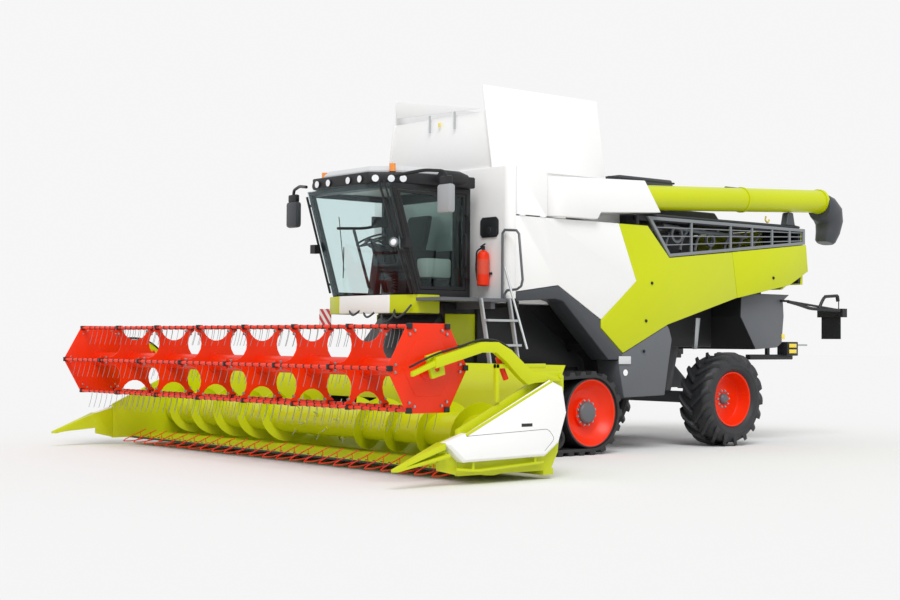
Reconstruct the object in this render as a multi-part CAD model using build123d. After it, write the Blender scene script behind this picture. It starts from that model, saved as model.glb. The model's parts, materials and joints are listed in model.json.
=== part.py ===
# A combine harvester on rubber half-tracks with its cutting table, reel and unloading auger.
# X runs to the machine's left, -Y is forwards and Z is up. The origin is on the ground, midway
# between the tips of the crop dividers and the rearmost lamp, on the machine's centre line.
import os
from math import acos, atan2, cos, degrees, hypot, pi, radians, sin

from build123d import *

# General arrangement, in millimetres
front_reach = 4370          # front axle to the divider tips
rear_reach = 6870           # front axle to the rearmost lamp
lamp_depth = 120
axle_y = (front_reach - rear_reach) / 2
wheelbase = 3860
rear_axle_y = axle_y + wheelbase
seat_gap = 0.3              # what is left between curved faces that seat on each other
run_gap = 6                 # what is left between pieces that move past each other

# Rubber tracks
track_outer_x = 1640
track_width = 635
belt_thickness = 40
lug_height = 50
shoe_pitch = 200
drive_radius = 480
idler_radius = 440
drive_behind = 860          # drive wheel behind the front axle
idler_ahead = 800           # idler ahead of the front axle
roller_radius = 150
roller_spacing = 460
wheel_sides = 36            # flat facets round a wheel, a rim or a tyre
roller_sides = 20
track_frame_width = 60
track_inner_x = track_outer_x - track_width
drive_y = axle_y + drive_behind
idler_y = axle_y - idler_ahead
drive_z = lug_height + belt_thickness + seat_gap + drive_radius
idler_z = lug_height + belt_thickness + seat_gap + idler_radius
frame_out_x = track_inner_x - run_gap
frame_in_x = frame_out_x - track_frame_width
roller_z = lug_height + belt_thickness + seat_gap + roller_radius

# Steered rear wheels
tyre_radius = 700
tyre_width = 500
tyre_outer_x = 1600
tread_depth = 48
bead_radius = 396
lug_count = 18              # lugs on each half of the tread
lug_width = 46
lug_sweep = 14              # degrees round the tyre from a lug's inner end to its outer end
lug_shoulder_x = 190        # where a lug's top begins to fall
wheel_x = tyre_outer_x - tyre_width / 2
kingpin_x = 985
kingpin_radius = 26
spindle_radius = 45
hitch_z = 870
hitch_pin_radius = 16
hitch_y = rear_axle_y + 720

# Threshing body
body_half = 740
body_top = 2050
hood_top = 2750
belly_z = 700
hood_bottom_z = 1470

# Grain tank
tank_front_y = axle_y - 440
tank_rear_y = axle_y + 1900
tank_top = 3850
tank_wall = 30
tank_mouth_half = 1080
side_x = 1500               # outer face of the side cladding
panel_thickness = 50
panel_in_x = side_x - panel_thickness
tank_half = panel_in_x - 50
front_wall_depth = 130
flap_height = 1130
flap_lean = 190             # how far a flap's top leans over its hinge
flap_thickness = 30
flap_front_y = axle_y - 560
flap_length = 2150
end_panel_height = 780

# Unloading auger
auger_x = 1360
auger_pivot_y = axle_y + 380
auger_pivot_z = 3520
auger_rise = 0.05
auger_radius = 180
auger_length = 5870         # pivot to the end of the tube
elbow_half = 230
elbow_bottom = 3222         # the cover's underside
elbow_top = 3800
elbow_end = 1750
skin_z = elbow_bottom - 8   # foot of the tank's side skins
spout_half = 190
spout_outline = [(6260.1, 4006), (6610, 3945), (6790, 3710), (6870, 3420), (6660, 3225), (6370, 3150),
                 (6210, 3440),
                 (6115, 3586), (6260.1, 3600)]
spout_hollow = [(6840, 3428), (6762, 3695), (6590, 3900), (6400, 3800), (6240, 3450), (6392, 3160),
                (6400, 3050), (6760, 3050),
                (6950, 3400)]

# Service doors, hinged along their top edge
door_top = 3195
lift_hinge_x = side_x + 4
lift_hinge_z = door_top + 9.5
lift_hinge_places = (axle_y - 330, axle_y + 40)
tail_y = axle_y + 5640      # front of the tail wall

# Cab
cab_half = 930
cab_floor = 2130
cab_floor_thickness = 70
cab_roof_z = 3560
roof_thickness = 150
pillar_foot_y = axle_y - 1650
pillar_top_y = axle_y - 2090
cab_rear_y = axle_y - 750
pillar_width = 70
screen_bow = 150
glass_thickness = 8
crown_height = 95
roof_corners = [(620, -2230), (930, -1800), (1000, -1300),
                (1030, -745)]  # x, distance behind the front axle
lamp_table = [(224, -2230, 0), (480, -2230, 0), (680, -2147, 54.21), (800, -1980.5, 54.21),
              (890, -1855.5, 54.21)]
lamp_radius = 46
beacon_place = (760, -1930)
beacon_radius = 42
apron_heights = (cab_floor - 235, cab_floor + 5)
apron_split_x = 560         # where the apron turns from white to lime
cheek_outline = [(-1025, 1480), (-1025, 1900), (-505, 1900), (-505, 1480)]
mirror_x = 1700
mirror_y = axle_y - 1800

# Boarding ladder
ladder_top = cab_floor - 36
ladder_foot = 470
ladder_lean = 360           # how far its foot stands out
ladder_steps = 5
ladder_step = 320

# Feeder house and cutting table
lift_y = axle_y - 880
lift_z = 1620
feeder_half = 650
feeder_nose = 290
lift_pin_radius = 45
ram_x = 420
ram_base = (axle_y - 290, 605)
ram_eye = (axle_y - 1560, 485)
ram_pin_radius = 20
ram_barrel_radius = 55
ram_rod_radius = 32
ram_barrel_length = 860
eye_drift = 10              # room round a ram's eye pin
table_half = 3880           # inside of the end walls
end_wall = 45
knife_y = axle_y - 3150
knife_z = 105
sheet = 25
table_auger_y = axle_y - 2400
table_auger_z = 500
table_auger_radius = 330
table_tube_radius = 205
flight_thickness = 12
flight_pitch = 620
flight_sides = 12
auger_fingers = 8
finger_pitch = 152          # knife fingers
lifter_pitch = 304
lifter_edge = 100          # left free at each end of the table
lifter_count = 2 * int((table_half - lifter_edge) / lifter_pitch) + 1
shield_out_x = table_half + 175
end_outline = [(-3460, 100), (-2100, 100), (-1990, 300), (-1905, 1000), (-1905, 1150), (-2215, 1160),
               (-3460, 590)]
shield_outline = [(-2220, 1110), (-3440, 550), (-3720, 460), (-3470, 250), (-2290, 270), (-2080, 410),
                  (-1960, 740),
                  (-2020, 1030)]
shield_hollow = [(-2060, 1300), (-2300, 1300), (-3420, 600), (-3420, 300), (-2310, 320), (-2130, 430),
                 (-2015, 740),
                 (-2060, 1000)]
divider_tip_y = axle_y - front_reach
divider_tip_z = 200

# Reel
reel_y = axle_y - 3750
reel_z = 1245
reel_radius = 513
reel_half = table_half - 105
reel_rim = 1.07             # how far the plates reach beyond the tine bars
scallop_radius = 150
reel_tube_radius = 100
tine_bar_radius = 22
tine_length = 250
tine_pitch = 300
spider_count = 6
plate_thickness = 12
arm_in_x = table_half + 55
arm_width = 75
arm_pivot_y = axle_y - 2040
arm_pivot_z = 1150
slide_slope = 14.7          # degrees the reel's slide way falls towards the front
arm_outline = [(-3830, 1362), (-3190, 1527), (-2960, 1527), (-2770, 1440), (-2540, 1262), (-2440, 1205),
               (-2040, 1205),
               (-1985, 1150), (-2040, 1095), (-2420, 1080), (-2520, 1060), (-2640, 1140), (-2850, 1320),
               (-2990, 1413),
               (-3190, 1413), (-3830, 1248)]
arm_front_outline = [(-4120, 1215), (-3830, 1330), (-3829, 1270), (-4120, 1165)]


def block(x0, x1, y0, y1, z0, z1):
    """A box between two corners."""
    size = (abs(x1 - x0), abs(y1 - y0), abs(z1 - z0))
    return Pos((x0 + x1) / 2, (y0 + y1) / 2, (z0 + z1) / 2) * Box(*size)


def side_plate(points, x0, x1):
    """An outline of (y, z) points, thick from x0 to x1."""
    return extrude(Plane.YZ.offset(x0) * Polygon(*points, align=None), amount=x1 - x0, dir=(1, 0, 0))


def plan_plate(points, z0, z1):
    """An outline of (x, y) points, thick from z0 to z1."""
    return extrude(Plane.XY.offset(z0) * Polygon(*points, align=None), amount=z1 - z0, dir=(0, 0, 1))


def front_plate(points, y0, y1):
    """An outline of (x, z) points, thick from y0 to y1."""
    plane = Plane(origin=(0, y1, 0), x_dir=(1, 0, 0), z_dir=(0, -1, 0))
    return extrude(plane * Polygon(*points, align=None), amount=y1 - y0, dir=(0, -1, 0))


def rod(start, end, radius):
    """A round bar from start to end."""
    path = Vector(*end) - Vector(*start)
    return extrude(Plane(origin=start, z_dir=path) * Circle(radius), amount=path.length)


def railing(points, radius, cut=40):
    """A six-sided bar along straight runs, its corners cut in two."""
    path = [Vector(*points[0])]
    for before, corner, after in zip(points, points[1:], points[2:]):
        corner = Vector(*corner)
        for other in (before, after):
            path.append(corner + (Vector(*other) - corner).normalized() * cut)
    path.append(Vector(*points[-1]))
    line = Polyline(*path)
    section = Plane(origin=line @ 0, z_dir=line % 0) * RegularPolygon(radius, 6)
    return sweep(section, path=line, transition=Transition.RIGHT)


def facet(*points):
    """A flat face with the points as its corners."""
    return Face(Wire.make_polygon([Vector(*point) for point in points], close=True))


def skinned(rings):
    """A solid through rings of four points, each wall between them split into two flat facets."""
    faces = [facet(*rings[0]), facet(*rings[-1])]
    for near, far in zip(rings, rings[1:]):
        for i, j in ((0, 1), (1, 2), (3, 2), (0, 3)):
            faces.append(facet(near[i], near[j], far[j]))
            faces.append(facet(near[i], far[j], far[i]))
    return Solid(Shell(faces))


def turned(section, sides, x=0, y=0, z=0):
    """A ring of (x, radius) points carried round an axis along X through (y, z) in flat facets."""
    def corner(point, i):
        turn = 2 * pi * i / sides
        return x + point[0], y + point[1] * cos(turn), z + point[1] * sin(turn)

    faces = []
    for near, far in zip(section, section[1:] + section[:1]):
        for i in range(sides if near[1] or far[1] else 0):
            ring = [corner(near, i), corner(near, i + 1)] if near[1] else [corner(near, 0)]
            ring += [corner(far, i + 1), corner(far, i)] if far[1] else [corner(far, 0)]
            faces.append(facet(*ring))
    return Solid(Shell(faces))


def mirrored(shape):
    """The same piece on the machine's right."""
    return mirror(shape, about=Plane.YZ)


def at_axle(points):
    """Outline points given as (distance behind the front axle, z)."""
    return [(axle_y + y, z) for y, z in points]


# The track's loop, as circles about the two wheels joined by their outer tangents
def loop_point(s, r_drive, r_idler, height=0.0):
    """The (y, z) point at length s round the loop, and height out from it."""
    span = hypot(drive_y - idler_y, drive_z - idler_z)
    tilt = atan2(drive_z - idler_z, drive_y - idler_y)
    half = acos((r_idler - r_drive) / span)
    low, high = tilt - half, tilt + half
    run = (span**2 - (r_drive - r_idler) ** 2) ** 0.5
    rear_arc = r_drive * (high - low)
    front_arc = r_idler * (2 * pi - (high - low))
    s %= rear_arc + front_arc + 2 * run
    if s < rear_arc:
        a = low + s / r_drive
        return drive_y + (r_drive + height) * cos(a), drive_z + (r_drive + height) * sin(a)
    s -= rear_arc
    if s < run:
        y = drive_y + (r_drive + height) * cos(high) - s * sin(high)
        z = drive_z + (r_drive + height) * sin(high) + s * cos(high)
        return y, z
    s -= run
    if s < front_arc:
        a = high + s / r_idler
        return idler_y + (r_idler + height) * cos(a), idler_z + (r_idler + height) * sin(a)
    s -= front_arc
    y = idler_y + (r_idler + height) * cos(low) - s * sin(low)
    z = idler_z + (r_idler + height) * sin(low) + s * cos(low)
    return y, z


def loop_length(r_drive, r_idler):
    """How long the loop is."""
    span = hypot(drive_y - idler_y, drive_z - idler_z)
    half = acos((r_idler - r_drive) / span)
    run = (span**2 - (r_drive - r_idler) ** 2) ** 0.5
    return 2 * half * r_drive + (2 * pi - 2 * half) * r_idler + 2 * run


def loop_face(r_drive, r_idler):
    """The inside of the belt as exact arcs and lines."""
    span = hypot(drive_y - idler_y, drive_z - idler_z)
    tilt = atan2(drive_z - idler_z, drive_y - idler_y)
    half = acos((r_idler - r_drive) / span)
    low, high = degrees(tilt - half), degrees(tilt + half)
    rear = CenterArc((drive_y, drive_z), r_drive, low, high - low)
    front = CenterArc((idler_y, idler_z), r_idler, high, 360 - (high - low))
    return make_face([rear, Line(rear @ 1, front @ 0), front, Line(front @ 1, rear @ 0)])


def lug():
    """One slanted lug of the tyre, chamfered where it runs down the shoulder."""
    x0, x1 = 8, tyre_width / 2 - 2
    swing = tyre_radius * sin(radians(lug_sweep) / 2)
    half = lug_width / 2
    top = (tyre_radius**2 - (swing + half) ** 2) ** 0.5
    bar = plan_plate([(x0, swing - half), (x0, swing + half), (x1, half - swing), (x1, -swing - half)],
                     tyre_radius - 160, top)
    cut = front_plate([(0, 0), (0, top), (lug_shoulder_x, top), (x1 + 1, tyre_radius - 62),
                       (x1 + 1, 0)], -200, 200)
    return (bar & cut).rotate(Axis.X, lug_sweep / 2)


def track_belt():
    """The rubber belt, its shoes staggered on its two halves."""
    r_drive = drive_radius + seat_gap + belt_thickness
    r_idler = idler_radius + seat_gap + belt_thickness
    length = loop_length(r_drive, r_idler)
    count = round(length / shoe_pitch)
    pitch = length / count
    inside = loop_face(r_drive - belt_thickness, r_idler - belt_thickness)
    middle_x = track_outer_x - track_width / 2
    halves = []
    # where along the pitch the shoe's foot and crest begin and end, and how high each is
    shoe = ((-0.27, 0), (-0.18, lug_height), (0.18, lug_height), (0.27, 0))
    for x0, x1, phase in ((track_inner_x, middle_x, 0.5), (middle_x, track_outer_x, 0.0)):
        outline = [loop_point((i + phase + share) * pitch, r_drive, r_idler, height)
                   for i in range(count) for share, height in shoe]
        face = Polygon(*outline, align=None) - inside
        halves.append(extrude(Plane.YZ.offset(x0) * face, amount=x1 - x0, dir=(1, 0, 0)))
    return halves[0] + halves[1]


def dished_wheel(radius, y, z):
    """A track wheel with a dish and a bolted hub, closed behind."""
    out_x, in_x = track_outer_x - 25, track_inner_x + 35
    hub = 0.4 * radius
    section = [(out_x - 75, 0), (out_x - 75, hub), (out_x - 165, hub + 5), (out_x - 30, radius - 35),
               (out_x, radius - 25), (out_x, radius), (in_x, radius), (in_x, 0)]
    return turned(section, wheel_sides, y=y, z=z)


def track_wheels():
    """The drive wheel, the idler and the rollers that run inside the belt."""
    wheels = [dished_wheel(drive_radius, drive_y, drive_z), dished_wheel(idler_radius, idler_y, idler_z)]
    in_x, out_x = track_inner_x + 55, track_outer_x - 50
    section = [(in_x, 0), (in_x, roller_radius), (out_x, roller_radius), (out_x - 30, 70), (out_x - 30, 0)]
    return wheels + [turned(section, roller_sides, y=y, z=roller_z) for y in roller_places()]


def roller_places():
    """Where the rollers stand between the two wheels."""
    middle = (drive_y + idler_y) / 2 - 20
    return middle - roller_spacing / 2, middle + roller_spacing / 2


def track_frame():
    """The beam inboard of the belt, with the axles that carry its wheels."""
    outline = [(idler_y - 110, idler_z - 90), (idler_y - 110, idler_z + 90), (axle_y - 150, 800),
               (axle_y + 250, 800), (drive_y + 120, drive_z + 110), (drive_y + 120, drive_z - 110),
               (drive_y - 200, 190), (idler_y + 250, 190)]
    frame = side_plate(outline, frame_in_x, frame_out_x)
    wheel_in, roller_in = track_inner_x + 35, track_inner_x + 55
    axles = [(drive_y, drive_z, wheel_in, 90), (idler_y, idler_z, wheel_in, 70)]
    axles += [(y, roller_z, roller_in, 40) for y in roller_places()]
    for y, z, end, radius in axles:
        frame += rod((frame_out_x - 5, y, z), (end - seat_gap, y, z), radius)
    return frame


def front_axle():
    """The beam across the machine with a final drive at each end and the pedestal under the body."""
    beam = block(-frame_in_x, frame_in_x, axle_y - 110, axle_y + 110, 520, 690)
    pedestal = side_plate([(axle_y - 160, 685), (axle_y + 160, 685), (axle_y + 320, 1000),
                           (axle_y - 320, 1000)],
                          -520, 520)
    case = rod((body_half + 8, drive_y, drive_z), (frame_in_x, drive_y, drive_z), 210)
    arm = side_plate([(axle_y + 90, 540), (axle_y + 90, 720), (drive_y, drive_z + 110),
                      (drive_y, drive_z - 110)],
                     frame_in_x - 180, frame_in_x - 20)
    side = case + arm + track_frame()
    ear = at_axle([(-330, 560), (-330, 650), (-100, 680), (-100, 530)])
    for inside, outside in ((-60, -36), (36, 60)):
        side += side_plate(ear, ram_x + inside, ram_x + outside)
    side += rod((ram_x - 62, *ram_base), (ram_x + 62, *ram_base), ram_pin_radius)
    return beam + pedestal + side + mirrored(side)


# Rear wheels
def tyre():
    """A field tyre in flat facets, its slanted lugs meeting in a chevron and running down its shoulders."""
    half, crown = tyre_width / 2, tyre_radius - tread_depth
    wall = tyre_radius - 140
    bead = half - 44, bead_radius + 24
    side = [(half - 65, crown), (half, wall), (half, wall - 26), bead, (bead[0], bead_radius + seat_gap)]
    carcass = turned(side + [(-x, radius) for x, radius in reversed(side)], wheel_sides)
    step = 360 / lug_count
    left = lug()
    right = mirrored(left).rotate(Axis.X, step / 2)
    lugs = [side.rotate(Axis.X, i * step) for i in range(lug_count) for side in (left, right)]
    return Pos(wheel_x, rear_axle_y, tyre_radius) * carcass.fuse(*lugs)


def rim():
    """The rim, its deep dish and the hub with a blind bore for the spindle."""
    seat = bead_radius
    half = tyre_width / 2 - 44 + seat_gap
    bore = spindle_radius + seat_gap
    section = [(-60, 0), (-60, 120), (-20, seat - 24), (-half - 14, seat - 24), (-half - 14, seat),
               (half, seat),
               (half + 14, seat + 16), (half + 14, seat - 14), (30, seat - 28), (10, 160), (45, 120),
               (45, 0)]
    body = turned(section, wheel_sides, x=wheel_x, y=rear_axle_y, z=tyre_radius)
    return body - rod((wheel_x - 70, rear_axle_y, tyre_radius),
                      (wheel_x + 20, rear_axle_y, tyre_radius), bore)


def knuckle():
    """The steered stub axle with its kingpin."""
    y, z = rear_axle_y, tyre_radius
    barrel = rod((kingpin_x, y, z - 125), (kingpin_x, y, z + 125), 62)
    pin = rod((kingpin_x, y, z - 190), (kingpin_x, y, z + 190), kingpin_radius)
    spindle = rod((kingpin_x, y, z), (wheel_x - 62, y, z), 78)
    spindle += rod((kingpin_x, y, z), (wheel_x + 19, y, z), spindle_radius)
    arm = plan_plate([(kingpin_x - 20, y), (kingpin_x + 45, y), (kingpin_x + 30, y - 250),
                      (kingpin_x - 20, y - 250)],
                     z - 110, z - 80)
    return barrel + pin + spindle + arm


def rear_axle():
    """The beam with a fork at each end for the kingpins, and its pedestal."""
    y, z = rear_axle_y, tyre_radius
    cheek_x = kingpin_x - 78
    beam = block(-cheek_x + 40, cheek_x - 40, y - 85, y + 85, z - 80, z + 90)
    pedestal = front_plate([(-170, z + 85), (170, z + 85), (330, hood_bottom_z),
                            (-330, hood_bottom_z)], y - 190, y + 190)
    fork = block(cheek_x - 50, cheek_x, y - 45, y + 45, z - 180, z + 180)
    ear_foot = 125 + seat_gap
    for side in (-1, 1):
        low, high = sorted((z + side * ear_foot, z + side * (ear_foot + 50)))
        fork += block(cheek_x - 50, kingpin_x + 55, y - 45, y + 45, low, high)
    fork -= rod((kingpin_x, y, z - 300), (kingpin_x, y, z + 300), kingpin_radius + seat_gap)
    return beam + pedestal + fork + mirrored(fork)


def rear_hitch():
    """The trailer hitch behind the rear axle, its clevis bored for a drawbar's pin."""
    y0 = rear_axle_y + 190 + seat_gap
    root = side_plate([(y0, 1000), (y0, 1300), (y0 + 70, 1300), (y0 + 480, 960), (y0 + 480, 830),
                       (y0 + 120, 830)],
                      -60, 60)
    hitch = root
    for z0 in (hitch_z - 60, hitch_z + 30):
        hitch += block(-75, 75, y0 + 430, hitch_y + 70, z0, z0 + 30)
    return hitch - rod((0, hitch_y, hitch_z - 100), (0, hitch_y, hitch_z + 100), hitch_pin_radius)


# Main body
def threshing_body():
    """The housing over the drum, straw walkers and sieves, with its belly between the wheels."""
    outline = at_axle([(-950, 1250), (-1030, body_top), (1900, body_top), (1900, hood_top),
                       (5560, hood_top),
                       (5560, 2300), (4350, 2300), (4350, hood_bottom_z), (2700, hood_bottom_z),
                       (2550, belly_z),
                       (600, belly_z), (320, 1000), (-450, 1000), (-800, 1100)])
    body = side_plate(outline, -body_half, body_half)
    n = feeder_nose + run_gap
    slope = radians(43)
    under = (lift_y + n * sin(slope), lift_z - n * cos(slope))
    below = (under[0] - 500 * cos(slope), under[1] - 500 * sin(slope))
    half = feeder_half + run_gap
    mouth = rod((-half, lift_y, lift_z), (half, lift_y, lift_z), n)
    mouth += side_plate([(lift_y, lift_z), under, below, (lift_y - 500, below[1]),
                         (lift_y - 500, lift_z)], -half, half)
    journal = rod((-body_half + 10, lift_y, lift_z),
                  (body_half - 10, lift_y, lift_z), lift_pin_radius + seat_gap)
    return body - mouth - journal


def grain_tank():
    """The open hopper, notched on the left for the unloading auger, with its upper side skins."""
    tank = block(-tank_half, tank_half, tank_front_y, tank_rear_y, 2300, tank_top)
    tank += block(-1150, 1150, tank_front_y, tank_rear_y, body_top, 2301)
    tank += block(-side_x, -tank_half, tank_front_y, tank_rear_y, skin_z, tank_top)
    tank += block(tank_half, side_x, tank_front_y, auger_pivot_y - elbow_half - 30, skin_z, tank_top)
    notch_x = auger_x - elbow_half - run_gap
    tank -= block(notch_x, side_x + 10, auger_pivot_y - elbow_half - 30, tank_rear_y + 1, skin_z - 12, tank_top + 1)
    y0, y1 = tank_front_y + tank_wall, tank_rear_y - 100
    mouth, sump, brim, slope_z, floor_z = tank_mouth_half, 330, tank_top + 1, 3000, body_top + 200
    across = [(-sump, floor_z), (sump, floor_z), (mouth, slope_z), (mouth, brim), (-mouth, brim),
              (-mouth, slope_z)]
    along = [(y0 + 500, floor_z), (y1 - 500, floor_z), (y1, slope_z), (y1, brim), (y0, brim), (y0, slope_z)]
    tank -= front_plate(across, y0, y1) & side_plate(along, -mouth, mouth)
    pins = lift_hinge_pins()
    return tank.fuse(*pins, *[mirrored(pin) for pin in pins])


def lift_hinge_pins():
    """The pins over a service door, each between two tabs under the tank's skin."""
    parts = []
    for y in lift_hinge_places:
        parts.append(rod((lift_hinge_x, y - 40, lift_hinge_z), (lift_hinge_x, y + 40, lift_hinge_z), 5))
        for side in (-1, 1):
            y0, y1 = sorted((y + side * 34, y + side * 44))
            parts.append(block(side_x - 20, lift_hinge_x + 7, y0, y1, lift_hinge_z - 7, skin_z + 6))
    return parts


def lift_hinge_barrels():
    """The barrels on a service door's top edge that turn on those pins."""
    parts = []
    for y in lift_hinge_places:
        barrel = rod((lift_hinge_x, y - 30, lift_hinge_z), (lift_hinge_x, y + 30, lift_hinge_z), 8.5)
        barrel += block(side_x - 8, lift_hinge_x, y - 30, y + 30, door_top - 2, lift_hinge_z)
        parts.append(barrel - rod((lift_hinge_x, y - 31, lift_hinge_z),
        (lift_hinge_x, y + 31, lift_hinge_z), 6))
    return parts


def front_wall():
    """The white wall behind the cab, rounded where it turns the corner."""
    wall = block(-side_x, side_x, tank_front_y - front_wall_depth, tank_front_y, cab_floor - 30, tank_top)
    corners = wall.edges().filter_by(Axis.Z).group_by(Axis.Y)[0]
    return fillet(corners, 100)


def tank_flaps():
    """The two raised halves of the tank's cover."""
    x, z = tank_mouth_half + 40, tank_top + seat_gap
    outline = [(x, z), (x + flap_thickness, z), (x + flap_thickness - flap_lean, z + flap_height),
               (x - flap_lean, z + flap_height)]
    flap = front_plate(outline, flap_front_y, flap_front_y + flap_length)
    return flap


def tank_end_panel(y):
    """The panel that closes the gap between the raised flaps at one end."""
    x, z, h = tank_mouth_half + 40, tank_top + seat_gap, end_panel_height
    lean = flap_lean * h / flap_height
    outline = [(-x + 1, z), (x - 1, z), (x - lean - 1, z + h), (-x + lean + 1, z + h)]
    return front_plate(outline, y, y + flap_thickness)


def unloading_axis(distance):
    """The (y, z) point of the tube's centre line at a distance behind its pivot."""
    return auger_pivot_y + distance, auger_pivot_z + auger_rise * distance


def elbow_cover():
    """The moulded cover over the elbow, round about the pivot and raked at its rear."""
    y0, y1 = auger_pivot_y, auger_pivot_y + elbow_end
    plan = block(auger_x - elbow_half, auger_x + elbow_half, y0, y1 + 300, elbow_bottom, elbow_top + 60)
    nose = Pos(auger_x, y0, (elbow_bottom + elbow_top + 60) / 2) * Cylinder(elbow_half, elbow_top + 60 - elbow_bottom)
    rake = side_plate([(y0 - elbow_half - 50, elbow_bottom - 10), (y0 + 600, elbow_bottom - 10),
                       (y0 + 680, elbow_bottom + 100),
                       (y1 + 130, elbow_bottom + 165), (y1 - 200, elbow_top + 20),
                       (y0 - elbow_half - 50, elbow_top - 50)],
                      auger_x - elbow_half - 1, auger_x + elbow_half + 1)
    cover = (plan + nose) & rake
    return cover


def auger_tube():
    """The long tube with flanges, cut off where it enters the cover."""
    start, end = unloading_axis(300), unloading_axis(auger_length)
    tube = rod((auger_x, *start), (auger_x, *end), auger_radius)
    collar = rod((auger_x, *unloading_axis(auger_length - 60)), (auger_x, *end), auger_radius + 16)
    joint = rod((auger_x, *unloading_axis(3900)), (auger_x, *unloading_axis(3940)), auger_radius + 14)
    return tube + collar + joint - elbow_cover()


def auger_spout():
    """The rubber spout that turns the grain down, open at its mouth."""
    outline = at_axle(spout_outline)
    solid = side_plate(outline, auger_x - spout_half, auger_x + spout_half)
    faces = solid.faces().sort_by(Axis.X)
    start = min(y for y, z in outline) + 5
    edges = [edge for face in (faces[0], faces[-1]) for edge in face.edges()]
    spout = chamfer([edge for edge in edges if edge.length > 60], 55)
    inside = auger_x - spout_half + 30, auger_x + spout_half - 30
    return spout - side_plate(at_axle(spout_hollow), *inside)


def auger_turret():
    """The turning ring that carries the unloading auger."""
    skin_z = elbow_bottom - 20
    return rod((auger_x, auger_pivot_y, skin_z), (auger_x, auger_pivot_y, elbow_bottom + 5), 160)


# Side cladding, as (distance behind the front axle, z) points
seam_y = 3930
white_outline = [(-440, door_top), (1490, door_top), (1850, 2400), (1150, 1850), (1150, 1850),
                 (330, 2300), (-440, 2195)]
lime_outline = [(1493, door_top), (2085, door_top), (2545, 2755), (seam_y, 2895), (4050, 2215),
                (2520, 1795),
                (1590, 1385), (1153, 1730), (1153, 1846), (1853, 2400)]
band_outline = [(-440, 2188), (330, 2293), (1146, 1840), (1146, 1725), (1583, 1380), (1560, 1290),
                (1300, 1290),
                (430, 2080), (290, 2110), (-440, 2070)]
tail_outline = [(seam_y + 6, 2897), (5720, 3085), (5770, 2670), (5310, 2440), (4056, 2212)]
grille_outline = [(2100, 3335), (2552, 2768), (5700, 3092), (5700, 3335)]


def side_doors():
    """The white field of the big service door with its hinge barrels, and the lime field."""
    white = side_plate(at_axle(white_outline), panel_in_x, side_x)
    lime = side_plate(at_axle(lime_outline), panel_in_x, side_x)
    return white.fuse(*lift_hinge_barrels()), lime


def arch_band():
    """The dark band that frames the opening over the track."""
    return side_plate(at_axle(band_outline), 1150, side_x)


def tail_panel():
    """The lime panel at the rear corner."""
    return side_plate(at_axle(tail_outline), panel_in_x, side_x)


grille_bars = 3
grille_posts = (3040, seam_y - 10, 4420, 4900, 5330)


def side_grille():
    """The guard over the engine bay: a frame, posts and thin bars."""
    outer = Polygon(*at_axle(grille_outline), align=None)
    inner = offset(outer, -45)
    frame = extrude(Plane.YZ.offset(panel_in_x) * (outer - inner), amount=panel_thickness - 8)
    field = extrude(Plane.YZ.offset(panel_in_x) * inner, amount=panel_thickness)
    for y in grille_posts:
        frame += field & block(panel_in_x + 6, side_x - 14, axle_y + y - 18, axle_y + y + 18, 2600, 3400)
    for i in range(grille_bars):
        low = 2800 + (i + 1) * (3335 - 2800) / (grille_bars + 1)
        rise = 3092 + (i + 1) * (3335 - 3092) / (grille_bars + 1)
        bar = side_plate(at_axle([(2100, low - 7 - 20), (2100, low + 7 - 20), (5700, rise + 7),
                                  (5700, rise - 7)]),
                         panel_in_x + 12, panel_in_x + 26)
        frame += field & bar
    return frame


def upper_frame():
    """The rails and bulkheads that carry the cladding outside the threshing body."""
    rear = tail_y
    parts = []
    for s in (-1, 1):
        rail_x = sorted((s * 1380, s * (panel_in_x - seat_gap)))
        parts.append(block(*rail_x, tank_rear_y, rear, 3270, 3340))
        parts.append(block(*sorted((s * body_half, s * (panel_in_x - seat_gap))),
        rear - 60, rear, 2480, 3340))
        parts.append(block(*sorted((s * body_half, s * (panel_in_x - seat_gap))),
        tank_rear_y, tank_rear_y + 60, 1900, 3340))
        parts.append(side_plate(at_axle([(1960, 1900), (1960, 1960), (4300, 2450),
                                         (4300, 2390)]), *sorted((s * body_half, s * 1440))))
    return parts


def engine():
    """The engine, a plain block with its sump on the deck behind the tank."""
    y0 = tank_rear_y + 250
    return block(-650, 1000, y0, y0 + 1400, hood_top, hood_top + 420)


def engine_deck():
    """The top deck, the raised air intake and the rest that the auger tube lies over."""
    z = 3341
    deck = block(-panel_in_x, panel_in_x, tank_rear_y, tail_y, z, z + 40)
    deck -= block(auger_x - elbow_half - run_gap, 1600, tank_rear_y - 1, auger_pivot_y + elbow_end + 180, z - 1, z + 50)
    outline = [(60, z + 40), (60, 3950), (1180, 3950), (1330, 3520), (2150, 3520), (2300, z + 40)]
    intake = side_plate([(tank_rear_y + y, height) for y, height in outline], -1060, 1060)
    rest_y = axle_y + 5430
    under_tube = unloading_axis(5430 - 380)[1] - auger_radius
    rest = side_plate([(rest_y - 110, z + 35), (rest_y + 110, z + 35), (rest_y + 60, under_tube - run_gap),
                       (rest_y - 60, under_tube - run_gap)], auger_x - 60, panel_in_x - 20)
    return deck + intake + rest


def rear_wall():
    """The lime wall across the tail."""
    points = [(-panel_in_x, 2460), (-1150, 2460), (-1050, 2390), (1050, 2390), (1150, 2460),
              (panel_in_x, 2460),
              (panel_in_x, 3340), (-panel_in_x, 3340)]
    return front_plate(points, tail_y, tail_y + 60)


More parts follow.
